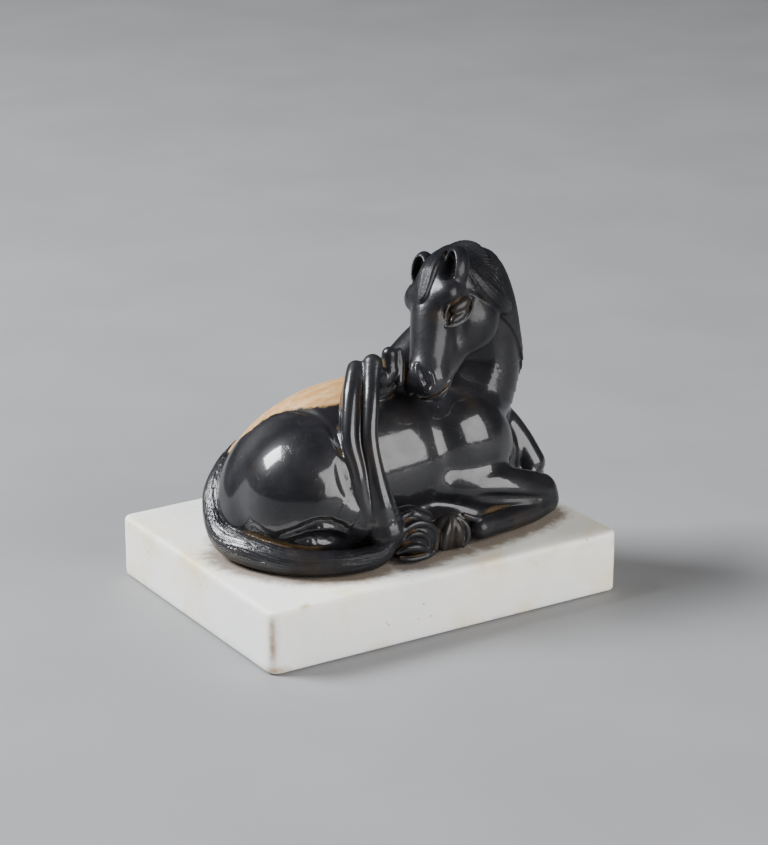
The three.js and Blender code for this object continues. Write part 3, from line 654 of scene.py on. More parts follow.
def make_neck_web():
    """Stone left standing between the far side of the head, the neck and the back."""
    return limb((26, 3, 57, 7), (18, 2.6, 54.6, 6.4), (7, 1.5, 48.5, 5.2))


def make_horse():
    axes = head_axes()
    neck = make_neck()
    hollow_throat = carved(2.5, neck, egg((20, -10, 53), (7.5, 4.4, 9), (0, 20, 0)))
    horse = joined(FLESH, make_trunk(), *make_forelegs())
    horse = joined(2.5, horse, hollow_throat, make_neck_web())
    horse = carved(0.9, horse, *make_creases())
    horse = joined(0.7, horse, *make_cannons())
    horse = carved(0.7, horse, *make_hollows())
    leg = joined(SINEW, make_raised_leg(), make_tendon(), make_leg_web())
    horse = joined(CRISP, horse, make_hind_hoof(), make_fore_hoof(), make_tail(), leg)
    horse = joined(
        CRISP,
        horse,
        placed(SKULL_AT, axes, make_head()),
        make_mane_layer(neck, axes),
        placed(SKULL_AT, axes, make_cheek_lock()),
    )
    return Form(horse.at, horse.reach, lambda p: soft_max(horse.d(p), HORSE_BASE - p[2], 0.6))


# Skin: a closed mesh drawn over a form

CELL_CORNERS = np.array([(c & 1, (c >> 1) & 1, (c >> 2) & 1) for c in range(8)])
CELL_EDGES = [(a, a | bit) for a in range(8) for bit in (1, 2, 4) if not a & bit]
CELL_FACES = [
    [base, base | u, base | u | w, base | w]
    for bit, u, w in ((1, 2, 4), (2, 1, 4), (4, 1, 2))
    for base in (0, bit)
]


def in_parallel(work, p):
    """Runs work over slices of the points at once, and puts the answers back in order."""
    slices = np.array_split(np.arange(p.shape[1]), max(WORKERS, p.shape[1] // 20000))
    with ThreadPoolExecutor(WORKERS) as pool:
        return np.concatenate(list(pool.map(lambda s: work(p[:, s]), slices)), axis=-1)


def edge_between(a, b):
    return CELL_EDGES.index((min(a, b), max(a, b)))


def sheets_of(inside):
    """Which crossed edges of a cell belong to one sheet of skin: a sheet number for each edge."""
    sheet = [i if inside[a] != inside[b] else -1 for i, (a, b) in enumerate(CELL_EDGES)]

    def unite(i, j):
        old, new = sheet[j], sheet[i]
        for n, s in enumerate(sheet):
            if s == old:
                sheet[n] = new

    for ring in CELL_FACES:
        pairs = [(ring[n], ring[(n + 1) % 4]) for n in range(4)]
        crossed = [edge_between(a, b) for a, b in pairs if inside[a] != inside[b]]
        if len(crossed) == 2:
            unite(*crossed)
        if len(crossed) == 4:
            for n in range(4):
                if inside[ring[n]]:
                    unite(edge_between(ring[n], ring[(n + 1) % 4]), edge_between(ring[n], ring[n - 1]))
    names = sorted(set(sheet) - {-1})
    return [names.index(s) if s >= 0 else -1 for s in sheet]


def sample_block(form, low, high, cell):
    """Distances on a grid, worked out only close to the skin and filled by sign elsewhere."""
    blocks = np.ceil((high - low) / (cell * BLOCK)).astype(int)
    centres = np.indices(blocks).reshape(3, -1)
    middle = column(low) + (centres + 0.5) * (cell * BLOCK)
    coarse = in_parallel(form.d, middle).reshape(blocks)
    near = np.abs(coarse) < cell * BLOCK * 1.35
    counts = blocks * BLOCK + 1
    wanted = np.zeros(counts, bool)
    values = np.ones(counts, np.float32)
    fine = near.repeat(BLOCK, 0).repeat(BLOCK, 1).repeat(BLOCK, 2)
    sign = np.sign(coarse).repeat(BLOCK, 0).repeat(BLOCK, 1).repeat(BLOCK, 2)
    for dx, dy, dz in CELL_CORNERS:
        window = tuple(slice(d, d + n) for d, n in zip((dx, dy, dz), fine.shape))
        wanted[window] |= fine
        values[window] = sign
    where = np.flatnonzero(wanted)
    p = column(low) + np.array(np.unravel_index(where, counts)) * cell
    distance = in_parallel(form.d, p)
    values.ravel()[where] = np.where(np.abs(distance) < 1e-5, 1e-5, distance)
    return values


def skin_of(form, low, high, cell):
    """Closed skin of a form as points (n x 3) and quads, one point for each sheet in a cell."""
    values = sample_block(form, low, high, cell)
    inside = values < 0
    shape = np.array(values.shape) - 1
    corner_slices = [tuple(slice(c, c + n) for c, n in zip(corner, shape)) for corner in CELL_CORNERS]
    pattern = sum(inside[s].astype(np.uint8) << n for n, s in enumerate(corner_slices))
    cells = np.flatnonzero((pattern > 0) & (pattern < 255))
    kinds = pattern.ravel()[cells]
    sheets = np.full((256, 12), -1)
    for kind in np.unique(kinds):
        sheets[kind] = sheets_of([(kind >> n) & 1 for n in range(8)])
    sheet = sheets[kinds]
    first = np.zeros(len(cells) + 1, int)
    first[1:] = np.cumsum(sheet.max(axis=1) + 1)
    corner = np.stack([values[s].ravel()[cells] for s in corner_slices], axis=1).astype(float)
    total = np.zeros((first[-1], 3))
    count = np.zeros(first[-1])
    for e, (a, b) in enumerate(CELL_EDGES):
        crossed = np.flatnonzero(sheet[:, e] >= 0)
        t = corner[crossed, a] / (corner[crossed, a] - corner[crossed, b])
        at = CELL_CORNERS[a] + np.outer(t, CELL_CORNERS[b] - CELL_CORNERS[a])
        point = first[crossed] + sheet[crossed, e]
        np.add.at(total, point, at)
        np.add.at(count, point, 1)
    owner = np.repeat(cells, np.diff(first))
    origin = np.array(np.unravel_index(owner, shape)).T
    points = low + (origin + total / count[:, None]) * cell
    cell_number = np.full(np.prod(shape), -1)
    cell_number[cells] = np.arange(len(cells))
    quads = [quads_along(axis, inside, shape, cell_number, sheet, first) for axis in range(3)]
    return points, np.concatenate(quads)


def quads_along(axis, inside, shape, cell_number, sheet, first):
    """One quad round each grid edge along an axis that passes through the skin."""
    u, w = (axis + 1) % 3, (axis + 2) % 3
    ahead = np.roll(inside, -1, axis)
    crossing = inside != ahead
    for side in (u, w):
        np.moveaxis(crossing, side, 0)[[0, -1]] = False
    np.moveaxis(crossing, axis, 0)[-1] = False
    at = np.array(np.nonzero(crossing))
    ring = []
    for du, dw in ((1, 1), (0, 1), (0, 0), (1, 0)):
        corner = (du << u) | (dw << w)
        place = at.copy()
        place[u] -= du
        place[w] -= dw
        number = cell_number[np.ravel_multi_index(place, shape)]
        ring.append(first[number] + sheet[number, edge_between(corner, corner | (1 << axis))])
    ring = np.array(ring).T
    outward = inside[tuple(at)]
    return np.where(outward[:, None], ring, ring[:, ::-1])


def largest_skin(points, quads):
    """Only the largest skin is kept, so no pocket is left inside the stone."""
    label = np.arange(len(points))
    while True:
        lowest = label[quads].min(axis=1)
        spread = label.copy()
        np.minimum.at(spread, quads.ravel(), np.repeat(lowest, 4))
        spread = spread[spread]
        if np.array_equal(spread, label):
            break
        label = spread
    main = np.bincount(label[quads[:, 0]]).argmax()
    kept = quads[label[quads[:, 0]] == main]
    used, renumbered = np.unique(kept, return_inverse=True)
    return points[used], renumbered.reshape(kept.shape)


def slope(form, p, e=0.02):
    steps = np.eye(3) * e
    return np.stack([form.d(p + column(s)) - form.d(p - column(s)) for s in steps]) / (2 * e)


def drawn_to(form, p, longest):
    """Points (3 x n) drawn on to the true surface of a form."""

    def move(q):
        g = slope(form, q)
        steep = np.maximum((g * g).sum(axis=0), 0.05)
        step = -g * form.d(q) / steep
        size = length(step)
        return q + step * np.minimum(1, longest / np.maximum(size, 1e-9))

    return in_parallel(move, p)



# Fine carving: grooves combed along the hair, set into the skin


def noise(p, size, seed):
    """Smooth noise from -1 to 1 with grains of a given size, from a seeded lattice."""
    lattice = np.random.default_rng(seed).uniform(-1, 1, (LATTICE,) * 3)
    q = p / size
    base = np.floor(q).astype(int)
    f = q - base
    f = f * f * (3 - 2 * f)
    total = np.zeros(p.shape[1])
    for corner in CELL_CORNERS:
        weight = np.where(column(corner) > 0, f, 1 - f).prod(axis=0)
        total += weight * lattice[tuple((base + corner.reshape(3, 1)) % LATTICE)]
    return total


def smooth_step(a, b, x):
    t = np.clip((x - a) / (b - a), 0, 1)
    return t * t * (3 - 2 * t)


def along_line(line, p, outward):
    """Where points lie round a limb's line: how far along it, and how far round it, in millimetres."""
    best = np.full(p.shape[1], np.inf)
    along = np.zeros(p.shape[1])
    around = np.zeros(p.shape[1])
    travelled = 0.0
    for a, b in zip(line, line[1:]):
        run = b[:3] - a[:3]
        size = np.linalg.norm(run)
        q = p - column(a[:3])
        run = run / size
        t = np.clip(run @ q, 0, size)
        q -= column(run) * t
        side = unit(np.asarray(outward) - run * (run @ outward))
        top = np.cross(side, run)
        distance = length(q) - a[3]
        closer = distance < best
        best[closer] = distance[closer]
        along[closer] = travelled + t[closer]
        turn = np.arctan2(side @ q, top @ q)
        around[closer] = (turn * a[3])[closer]
        travelled += size
    return along, around


def combed(along, around, pitch, seed):
    """Depth of a row of grooves, 0 on the ridges and 1 in the grooves, that wander a little."""
    place = np.stack([along / 9, around / 3, np.zeros(len(along))])
    wander = noise(place, 1, seed) * 0.8
    return (1 - np.abs(np.sin(np.pi * (around / pitch + wander)))) ** 1.4


def hair_regions(p):
    """Each stretch of hair: how much of it is at each point, and the way its strands run."""
    axes = head_axes()
    neck = make_neck()
    head = axes @ (p - column(SKULL_AT))
    mane = make_mane_layer(neck, axes)
    on_mane = smooth_step(0.35, 0.1, np.abs(mane.d(p)))
    on_mane *= smooth_step(-0.1, -0.9, mane_region(axes)(p))
    crest = limb(*NECK, FOREHEAD_HAIR)
    yield on_mane, along_line(crest.line, p, (0, -1, 0)), 1.0
    tail = make_tail()
    on_tail = smooth_step(0.5, 0.15, np.abs(tail.d(p)))
    yield on_tail, along_line(tail.line, p, (0, 0, 1)), 0.95
    leaf = make_forelock_leaf()
    on_leaf = smooth_step(-0.1, -0.6, leaf.d(head)) * smooth_step(3.5, 4.5, head[1])
    spread = 2.6 * np.sqrt(np.clip(1 - ((head[0] + 0.6) / 8.2) ** 2, 0.05, 1))
    yield on_leaf, (head[0], head[2] / spread * 2.6), 1.05
    lock = make_cheek_lock()
    on_lock = smooth_step(0.4, 0.12, np.abs(lock.d(head)))
    yield on_lock, along_line(lock.line, head, (0, 0, 1)), 1.15


def finely_carved(p, normals):
    """The skin's points with the hair combed in, and the strands' own coordinates for the finish."""
    depth = np.zeros(p.shape[1])
    strand = np.zeros((3, p.shape[1]))
    for seed, (amount, (along, around), pitch) in enumerate(hair_regions(p)):
        here = amount > strand[2]
        groove = combed(along, around, pitch, seed) * 0.14
        groove += combed(along, around, pitch * 0.53, seed + 20) * 0.06
        depth = np.where(here, groove * amount, depth)
        strand[:, here] = np.stack([around, along, amount])[:, here]
    hollow = joined(0.5, *make_hollows())
    roughened = smooth_step(0.5, 0.1, np.abs(hollow.d(p)))
    depth += roughened * (0.09 * noise(p, 1.1, 40) + 0.06 * noise(p, 0.6, 41))
    return p - normals * depth, strand


def openness(form, p, normals, reach):
    """How open the stone is above each point: 1 on plain skin, less in creases."""
    return form.d(p + normals * reach) / reach


def sharpness(form, p, normals, reach):
    """How thin the stone is below each point: 0 on plain skin, more on ridges."""
    return 1 + form.d(p - normals * reach) / reach


def handling(p):
    """How far hands have polished each point: 1 on the broad flanks, less on head, hooves and hollows."""
    head = smooth_step(50, 60, p[2])
    hooves = smooth_step(-18.5, -22.5, p[1]) * smooth_step(27, 23, p[2])
    neck = smooth_step(20, 27, p[0]) * smooth_step(34, 42, p[2])
    return 1 - 0.75 * np.maximum(np.maximum(head, hooves), 0.6 * neck)


def seam_depth(p):
    """How far points of the trunk are inside the pale seam, in millimetres."""
    x, y, z = p
    beyond = 0.8 * (y - np.interp(x, SEAM_X, SEAM_Y))
    above = z - SEAM_LOW - 0.012 * np.maximum(x + 28, 0) ** 2 + 1.8 * noise(p, 5, 60)
    off_trunk = 4 * (np.abs(make_trunk().d(p)) - 0.5)
    return np.minimum(soft_min(soft_min(beyond, above, 1.5), SEAM_END_X - x, 2), -off_trunk)


# Meshes


def new_mesh(name, points, faces, smooth=True):
    mesh = bpy.data.meshes.new(name)
    mesh.from_pydata(points.tolist(), [], faces.tolist())
    mesh.update()
    if smooth:
        mesh.shade_smooth()
    thing = bpy.data.objects.new(name, mesh)
    bpy.context.scene.collection.objects.link(thing)
    return thing


def set_attribute(thing, name, values):
    layer = thing.data.attributes.new(name, "FLOAT", "POINT")
    layer.data.foreach_set("value", np.asarray(values, np.float32))


def points_of(thing):
    flat = np.empty(len(thing.data.vertices) * 3, np.float32)
    thing.data.vertices.foreach_get("co", flat)
    return flat.reshape(-1, 3).T.astype(float)


def normals_of(thing):
    flat = np.empty(len(thing.data.vertices) * 3, np.float32)
    thing.data.vertex_normals.foreach_get("vector", flat)
    return flat.reshape(-1, 3).T.astype(float)


def thinned(thing, most_triangles):
    """Edges are folded away where the skin is plain, until few enough triangles are left."""
    triangles = sum(len(f.vertices) - 2 for f in thing.data.polygons)
    if triangles <= most_triangles:
        return
    fold = thing.modifiers.new("thin", "DECIMATE")
    fold.ratio = most_triangles / triangles
    fold.use_collapse_triangulate = True
    with bpy.context.temp_override(object=thing, active_object=thing):
        bpy.ops.object.modifier_apply(modifier=fold.name)


def make_horse_piece():
    form = make_horse()
    points, quads = largest_skin(*skin_of(form, CARVING_LOW, CARVING_HIGH, CARVING_CELL))
    p = drawn_to(form, points.T, CARVING_CELL / 3)
    g = in_parallel(lambda q: slope(form, q), p)
    carving, _ = finely_carved(p, g / np.maximum(length(g), 1e-6))
    horse = new_mesh("soapstone_horse", carving.T, quads)
    thinned(horse, MOST_TRIANGLES)
    horse.data.shade_smooth()
    p = points_of(horse)
    normals = normals_of(horse)
    _, strand = finely_carved(p, normals)
    measures = {
        "crease": 1 - in_parallel(lambda q: openness(form, q[:3], q[3:], 1.2), np.vstack([p, normals])),
        "ridge": in_parallel(lambda q: sharpness(form, q[:3], q[3:], 0.9), np.vstack([p, normals])),
        "seam": seam_depth(p),
        "polish": handling(p),
        "strand_across": strand[0],
        "strand_along": strand[1],
        "hair": strand[2],
    }
    for name, values in measures.items():
        set_attribute(horse, name, values)
    horse.data.transform(Matrix.Scale(MM, 4))
    return horse, form


def plinth_lines(size, fine, step):
    """Grid lines across one side of the plinth: close together near its ends, even between."""
    near = np.array([0, 0.12, 0.3, 0.5, 0.75, 1]) * fine
    middle = np.linspace(fine, size - fine, max(2, round((size - 2 * fine) / step) + 1))
    return np.concatenate([near[:-1], middle, (size - near[:-1])[::-1]]) - size / 2


def eased(p):
    """Grid points of a sharp block moved on to its rounded corners and eased edges."""
    half = column(PLINTH) / 2
    reach = half[:2] - PLINTH_CORNER
    core = np.clip(p[:2], -reach, reach)
    v = p[:2] - core
    size = np.maximum(np.hypot(*v), 1e-9)
    largest = np.abs(v).max(axis=0)
    plan = core + v * (largest / size)
    side = np.abs(p[:2]) - (half[:2] - PLINTH_CORNER)
    outer = np.where(side > 0, np.sign(p[:2]) * np.maximum(side, 0), 0)
    outward = outer / np.maximum(np.hypot(*outer), 1e-9)
    inset = PLINTH_CORNER - largest
    inset = np.where(largest > 0, inset, PLINTH_CORNER)
    s = np.maximum(PLINTH_EDGE - inset, 0)
    t = np.maximum(np.abs(p[2]) - (half[2] - PLINTH_EDGE), 0)
    scale = np.maximum(s, t) / np.maximum(np.hypot(s, t), 1e-9)
    height = np.where(t > 0, np.sign(p[2]) * (half[2] - PLINTH_EDGE + t * scale), p[2])
    return np.vstack([plan + outward * (s * scale - s) * (t > 0), height])


def make_plinth_piece(horse_form):
    """Plinth: a block gridded on all six sides, eased, worn and a little uneven."""
    lines = [plinth_lines(size, PLINTH_CORNER + 0.4, 0.9) for size in PLINTH]
    index = {}
    points = []
    faces = []

    def corner(*ijk):
        if ijk not in index:
            index[ijk] = len(points)
            points.append([lines[a][i] for a, i in enumerate(ijk)])
        return index[ijk]

    for axis in range(3):
        u, w = (axis + 1) % 3, (axis + 2) % 3
        for end in (0, len(lines[axis]) - 1):
            for i in range(len(lines[u]) - 1):
                for j in range(len(lines[w]) - 1):
                    ring = []
                    for di, dj in ((0, 0), (1, 0), (1, 1), (0, 1)):
                        ijk = [0, 0, 0]
                        ijk[axis], ijk[u], ijk[w] = end, i + di, j + dj
                        ring.append(corner(*ijk))
                    faces.append(ring if end else ring[::-1])
    p = eased(np.array(points).T)
    half = column(PLINTH) / 2
    plinth = new_mesh("marble_plinth", (p + column((0, 0, PLINTH[2] / 2))).T, np.array(faces))
    normals = normals_of(plinth)
    p = points_of(plinth)
    below = p[2] < 0.6
    wear = 0.1 * (noise(p, 9, 60) - 1) + 0.05 * (noise(p, 2.6, 61) - 1)
    edge = np.sort(half - np.abs(p - column((0, 0, PLINTH[2] / 2))), axis=0)[1]
    wear += 0.25 * smooth_step(2.2, 0, edge) * (noise(p, 3.4, 62) - 0.8) * 0.5
    p = p + normals * np.where(below, 0, wear * 0.7)
    plinth.data.vertices.foreach_set("co", p.T.ravel())
    plinth.data.update()
    contact = in_parallel(horse_form.d, p + column((0, 0, 0.6)))
    set_attribute(plinth, "contact", np.maximum(contact, 0))
    set_attribute(plinth, "edge", edge)
    set_attribute(plinth, "stain", stain_strength(p))
    plinth.data.transform(Matrix.Scale(MM, 4))
    return plinth


def stain_strength(p):
    """Old stains at their places on the block: each a soft patch with its own size."""
    total = np.zeros(p.shape[1])
    for at, size, strength in STAINS:
        q = (p - column(at)) / column(size)
        total = np.maximum(total, strength * np.exp(-(q * q).sum(axis=0)))
    return total


# Shader helpers: every call adds one node and returns it


class Sheet:
    """A node tree that is filled one node at a time, laid out in columns as it grows."""

    def __init__(self, tree):
        self.tree = tree
        self.count = 0

    def add(self, kind, inputs=None, **settings):
        node = self.tree.nodes.new(kind)
        node.location = (200 * (self.count // 4), -220 * (self.count % 4))
        self.count += 1
        for name, value in settings.items():
            setattr(node, name, value)
        for name, value in (inputs or {}).items():
            self.feed(node.inputs[name], value)
        return node

    def feed(self, socket, value):
        if isinstance(value, bpy.types.NodeSocket):
            self.tree.links.new(value, socket)
        else:
            socket.default_value = value

    def math(self, operation, a, b=0.0, clamp=False):
        return self.add("ShaderNodeMath", {0: a, 1: b}, operation=operation, use_clamp=clamp).outputs[0]

    def ramp(self, value, low, high, to_low=0.0, to_high=1.0, smooth=True):
        inputs = {"Value": value, "From Min": low, "From Max": high, "To Min": to_low, "To Max": to_high}
        kind = "SMOOTHSTEP" if smooth else "LINEAR"
        return self.add("ShaderNodeMapRange", inputs, interpolation_type=kind).outputs["Result"]

    def mix(self, amount, a, b, blend="MIX"):
        node = self.add("ShaderNodeMix", {0: amount, 6: a, 7: b}, data_type="RGBA", blend_type=blend)
        return node.outputs[2]

    def grain(self, place, scale, detail=3.0, roughness=0.5, distortion=0.0):
        inputs = {
            "Vector": place,
            "Scale": scale,
            "Detail": detail,
            "Roughness": roughness,
            "Distortion": distortion,
        }
        return self.add("ShaderNodeTexNoise", inputs).outputs["Fac"]

    def measure(self, name):
        return self.add("ShaderNodeAttribute", attribute_name=name).outputs["Fac"]

    def stretched(self, place, scale):
        return self.add("ShaderNodeVectorMath", {0: place, 1: scale}, operation="MULTIPLY").outputs[0]

    def in_millimetres(self):
        """Places on the piece in millimetres."""
        place = self.add("ShaderNodeTexCoord").outputs["Object"]
        return self.stretched(place, (1000.0, 1000.0, 1000.0))


def effect(name, sockets_in, sockets_out, draw):
    """A shared effect: a node group whose numbers and places come in and whose masks come out."""
    tree = bpy.data.node_groups.new(name, "ShaderNodeTree")
    for socket, (kind, default) in sockets_in.items():
        item = tree.interface.new_socket(name=socket, in_out="INPUT", socket_type=kind)
        if default is not None:
            item.default_value = default
    for socket in sockets_out:
        tree.interface.new_socket(name=socket, in_out="OUTPUT", socket_type="NodeSocketFloat")
    sheet = Sheet(tree)
    came = sheet.add("NodeGroupInput").outputs
    went = sheet.add("NodeGroupOutput").inputs
    for socket, value in draw(sheet, came).items():
        sheet.feed(went[socket], value)
    return tree


FLOAT = "NodeSocketFloat"
VECTOR = "NodeSocketVector"


def build_scratches():
    """Fine hairline scratches that cross each other at random."""

    def draw(sheet, came):
        total = None
        for turn, squash in ((0.4, 0.06), (1.7, 0.05), (2.6, 0.08)):
            inputs = {"Vector": came["Place"], "Angle": turn}
            turned = sheet.add("ShaderNodeVectorRotate", inputs, rotation_type="AXIS_ANGLE")
            turned.inputs["Axis"].default_value = (0.4, turn - 1, 0.7)
            place = sheet.stretched(turned.outputs[0], (1.0, squash, squash))
            line = sheet.grain(place, came["Density"], 1.0)
            thin = sheet.math("ABSOLUTE", sheet.math("SUBTRACT", line, 0.5))
            here = sheet.ramp(thin, 0.0, 0.012, 1.0, 0.0)
            patch = sheet.ramp(sheet.grain(turned.outputs[0], 0.35), 0.5, 0.62)
            here = sheet.math("MULTIPLY", here, patch)
            total = here if total is None else sheet.math("MAXIMUM", total, here)
        return {"Mask": total}

    sockets = {"Place": (VECTOR, None), "Density": (FLOAT, 3.0)}
    return effect("hairline scratches", sockets, ("Mask",), draw)


def build_settled_dirt_and_shade():
    """Old dirt that settles where the surface is closed in, broken up by grain; on the marble it also
    masks the painted shadow round the horse.
    """

    def draw(sheet, came):
        broken = sheet.grain(came["Place"], came["Grain"], 5.0, 0.65)
        ragged = sheet.math("MULTIPLY", sheet.math("SUBTRACT", broken, 0.5), 0.9)
        reach = sheet.math("ADD", came["Shelter"], ragged)
        mask = sheet.ramp(reach, came["Start"], came["Full"])
        return {"Mask": mask}

    sockets = {
        "Place": (VECTOR, None),
        "Shelter": (FLOAT, 0.0),
        "Grain": (FLOAT, 0.6),
        "Start": (FLOAT, 0.3),
        "Full": (FLOAT, 0.8),
    }
    return effect("settled dirt and shade", sockets, ("Mask",), draw)


def build_pits():
    """Small round pits, only where a slow grain lets them through."""

    def draw(sheet, came):
        cells = sheet.add(
            "ShaderNodeTexVoronoi", {"Vector": came["Place"], "Scale": came["Density"], "Randomness": 1.0}
        ).outputs["Distance"]
        dot = sheet.ramp(cells, sheet.math("MULTIPLY", came["Size"], 0.5), came["Size"], 1.0, 0.0)
        where = sheet.ramp(sheet.grain(came["Place"], came["Spread"], 2.0), came["Rarity"], 0.7)
        return {"Mask": sheet.math("MULTIPLY", dot, where)}

    sockets = {
        "Place": (VECTOR, None),
        "Density": (FLOAT, 0.5),
        "Size": (FLOAT, 0.16),
        "Spread": (FLOAT, 0.15),
        "Rarity": (FLOAT, 0.56),
    }
    return effect("small pits", sockets, ("Mask",), draw)


def used(sheet, tree, inputs):
    """Places a shared effect in a material with its own values."""
    node = sheet.add("ShaderNodeGroup")
    node.node_tree = tree
    for name, value in inputs.items():
        sheet.feed(node.inputs[name], value)
    return node.outputs["Mask"]


def new_material(name):
    material = bpy.data.materials.new(name)
    material.use_nodes = True
    material.node_tree.nodes.clear()
    sheet = Sheet(material.node_tree)
    surface = sheet.add("ShaderNodeBsdfPrincipled")
    out = sheet.add("ShaderNodeOutputMaterial")
    material.node_tree.links.new(surface.outputs[0], out.inputs["Surface"])
    return material, sheet, surface


def rgb(r, g, b):
    return (r, g, b, 1.0)


BLACK_STONE = rgb(0.0085, 0.0085, 0.0105)
SMOKY_STONE = rgb(0.017, 0.0165, 0.019)
WARM_STONE = rgb(0.022, 0.017, 0.014)
TAN_SEAM = rgb(0.5, 0.27, 0.1)
PALE_SEAM = rgb(0.66, 0.42, 0.2)
RUST_SEAM = rgb(0.24, 0.095, 0.03)
OCHRE_DIRT = rgb(0.16, 0.105, 0.052)
WORN_GREY = rgb(0.06, 0.06, 0.065)


def soapstone(effects):
    """Polished black soapstone with a tan seam, brown dirt in its creases and worn ridges."""
    material, sheet, surface = new_material("carved black soapstone")
    place = sheet.in_millimetres()
    crease = sheet.measure("crease")
    ridge = sheet.measure("ridge")
    hair = sheet.measure("hair")
    cloud = sheet.ramp(sheet.grain(place, 0.09, 4.0), 0.42, 0.66)
    stone = sheet.mix(cloud, BLACK_STONE, SMOKY_STONE)
    warm = sheet.ramp(sheet.grain(place, 0.05, 3.0, distortion=0.6), 0.55, 0.7)
    stone = sheet.mix(warm, stone, WARM_STONE)

    # The seam follows its own layer, with ragged ends and rusty flecks
    streaks = sheet.grain(sheet.stretched(place, (0.35, 1.0, 1.6)), 0.5, 6.0, 0.6, 0.4)
    ragged = sheet.math("MULTIPLY", sheet.math("SUBTRACT", sheet.grain(place, 0.7, 5.0, 0.7), 0.5), 1.6)
    seam = sheet.ramp(sheet.math("ADD", sheet.measure("seam"), ragged), -0.25, 0.55)
    tan = sheet.mix(sheet.ramp(streaks, 0.35, 0.65), TAN_SEAM, PALE_SEAM)
    flecks = sheet.ramp(sheet.grain(sheet.stretched(place, (0.5, 1.0, 1.5)), 1.3, 6.0, 0.7), 0.62, 0.74)
    tan = sheet.mix(sheet.math("MULTIPLY", flecks, 0.7), tan, RUST_SEAM)
    stone = sheet.mix(seam, stone, tan)

    scratches = used(sheet, effects["scratches"], {"Place": place, "Density": 2.2})
    pits = used(
        sheet,
        effects["pits"],
        {"Place": place, "Density": 0.55, "Size": 0.085, "Spread": 0.12, "Rarity": 0.5},
    )
    dirt = used(
        sheet,
        effects["dirt"],
        {"Place": place, "Shelter": crease, "Grain": 0.55, "Start": 0.62, "Full": 1.25},
    )
    worn = sheet.ramp(ridge, 0.55, 1.1)
    stone = sheet.mix(sheet.math("MULTIPLY", worn, 0.35), stone, WORN_GREY)
    stone = sheet.mix(sheet.math("MULTIPLY", scratches, 0.25), stone, WORN_GREY)
    stone = sheet.mix(sheet.math("MULTIPLY", dirt, 0.75), stone, OCHRE_DIRT)
    sheet.feed(surface.inputs["Base Color"], stone)

    wear = sheet.grain(place, 0.22, 4.0, 0.6)
    polish = sheet.measure("polish")
    rough = sheet.ramp(wear, 0.3, 0.7, 0.34, 0.48, smooth=False)
    rough = sheet.math("ADD", rough, sheet.math("MULTIPLY", dirt, 0.35))
    rough = sheet.math("ADD", rough, sheet.math("MULTIPLY", seam, 0.1), clamp=True)
    sheet.feed(surface.inputs["Roughness"], rough)
    kept = sheet.math("MULTIPLY", polish, sheet.ramp(wear, 0.3, 0.7, 0.95, 0.75, smooth=False))
    kept = sheet.math("SUBTRACT", kept, sheet.math("MULTIPLY", dirt, 0.8))
    kept = sheet.math("SUBTRACT", kept, sheet.math("MULTIPLY", seam, 0.35))
    kept = sheet.math("SUBTRACT", kept, sheet.math("MULTIPLY", hair, 0.2), clamp=True)
    sheet.feed(surface.inputs["Coat Weight"], kept)
    surface.inputs["Coat Roughness"].default_value = 0.09
    surface.inputs["Coat IOR"].default_value = 1.5
    surface.inputs["Specular IOR Level"].default_value = 0.18

    strands = sheet.add("ShaderNodeCombineXYZ")
    sheet.feed(strands.inputs[0], sheet.math("MULTIPLY", sheet.measure("strand_across"), 3.2))
    sheet.feed(strands.inputs[1], sheet.math("MULTIPLY", sheet.measure("strand_along"), 0.16))
    combing = sheet.grain(strands.outputs[0], 1.0, 3.0, 0.55)
    height = sheet.math("MULTIPLY", sheet.math("MULTIPLY", combing, hair), 0.12)
    height = sheet.math("SUBTRACT", height, sheet.math("MULTIPLY", scratches, 0.004))
    height = sheet.math("SUBTRACT", height, sheet.math("MULTIPLY", pits, 0.05))
    waves = sheet.math("MULTIPLY", sheet.grain(place, 0.35, 2.0), 0.02)
    height = sheet.math("ADD", height, waves)
    chisel = sheet.math("SUBTRACT", 1.0, polish)
    chisel = sheet.math("MULTIPLY", chisel, sheet.grain(place, 1.1, 3.0, 0.6))
    height = sheet.math("ADD", height, sheet.math("MULTIPLY", chisel, 0.07))
    crust = sheet.math("MULTIPLY", sheet.math("MULTIPLY", sheet.grain(place, 3.0, 4.0), dirt), 0.08)
    height = sheet.math("ADD", height, crust)
    bump = sheet.add("ShaderNodeBump", {"Height": height, "Strength": 1.0, "Distance": MM})
    sheet.feed(surface.inputs["Normal"], bump.outputs[0])
    sheet.feed(surface.inputs["Coat Normal"], bump.outputs[0])
    return material


WHITE_MARBLE = rgb(0.95, 0.93, 0.86)
COOL_MARBLE = rgb(0.9, 0.89, 0.87)
CREAM_MARBLE = rgb(0.86, 0.74, 0.48)
YELLOW_STAIN = rgb(0.36, 0.2, 0.05)
# Brown grime and painted contact shadow round where the horse stands
BROWN_GRIME_AND_SHADE = rgb(0.11, 0.065, 0.03)


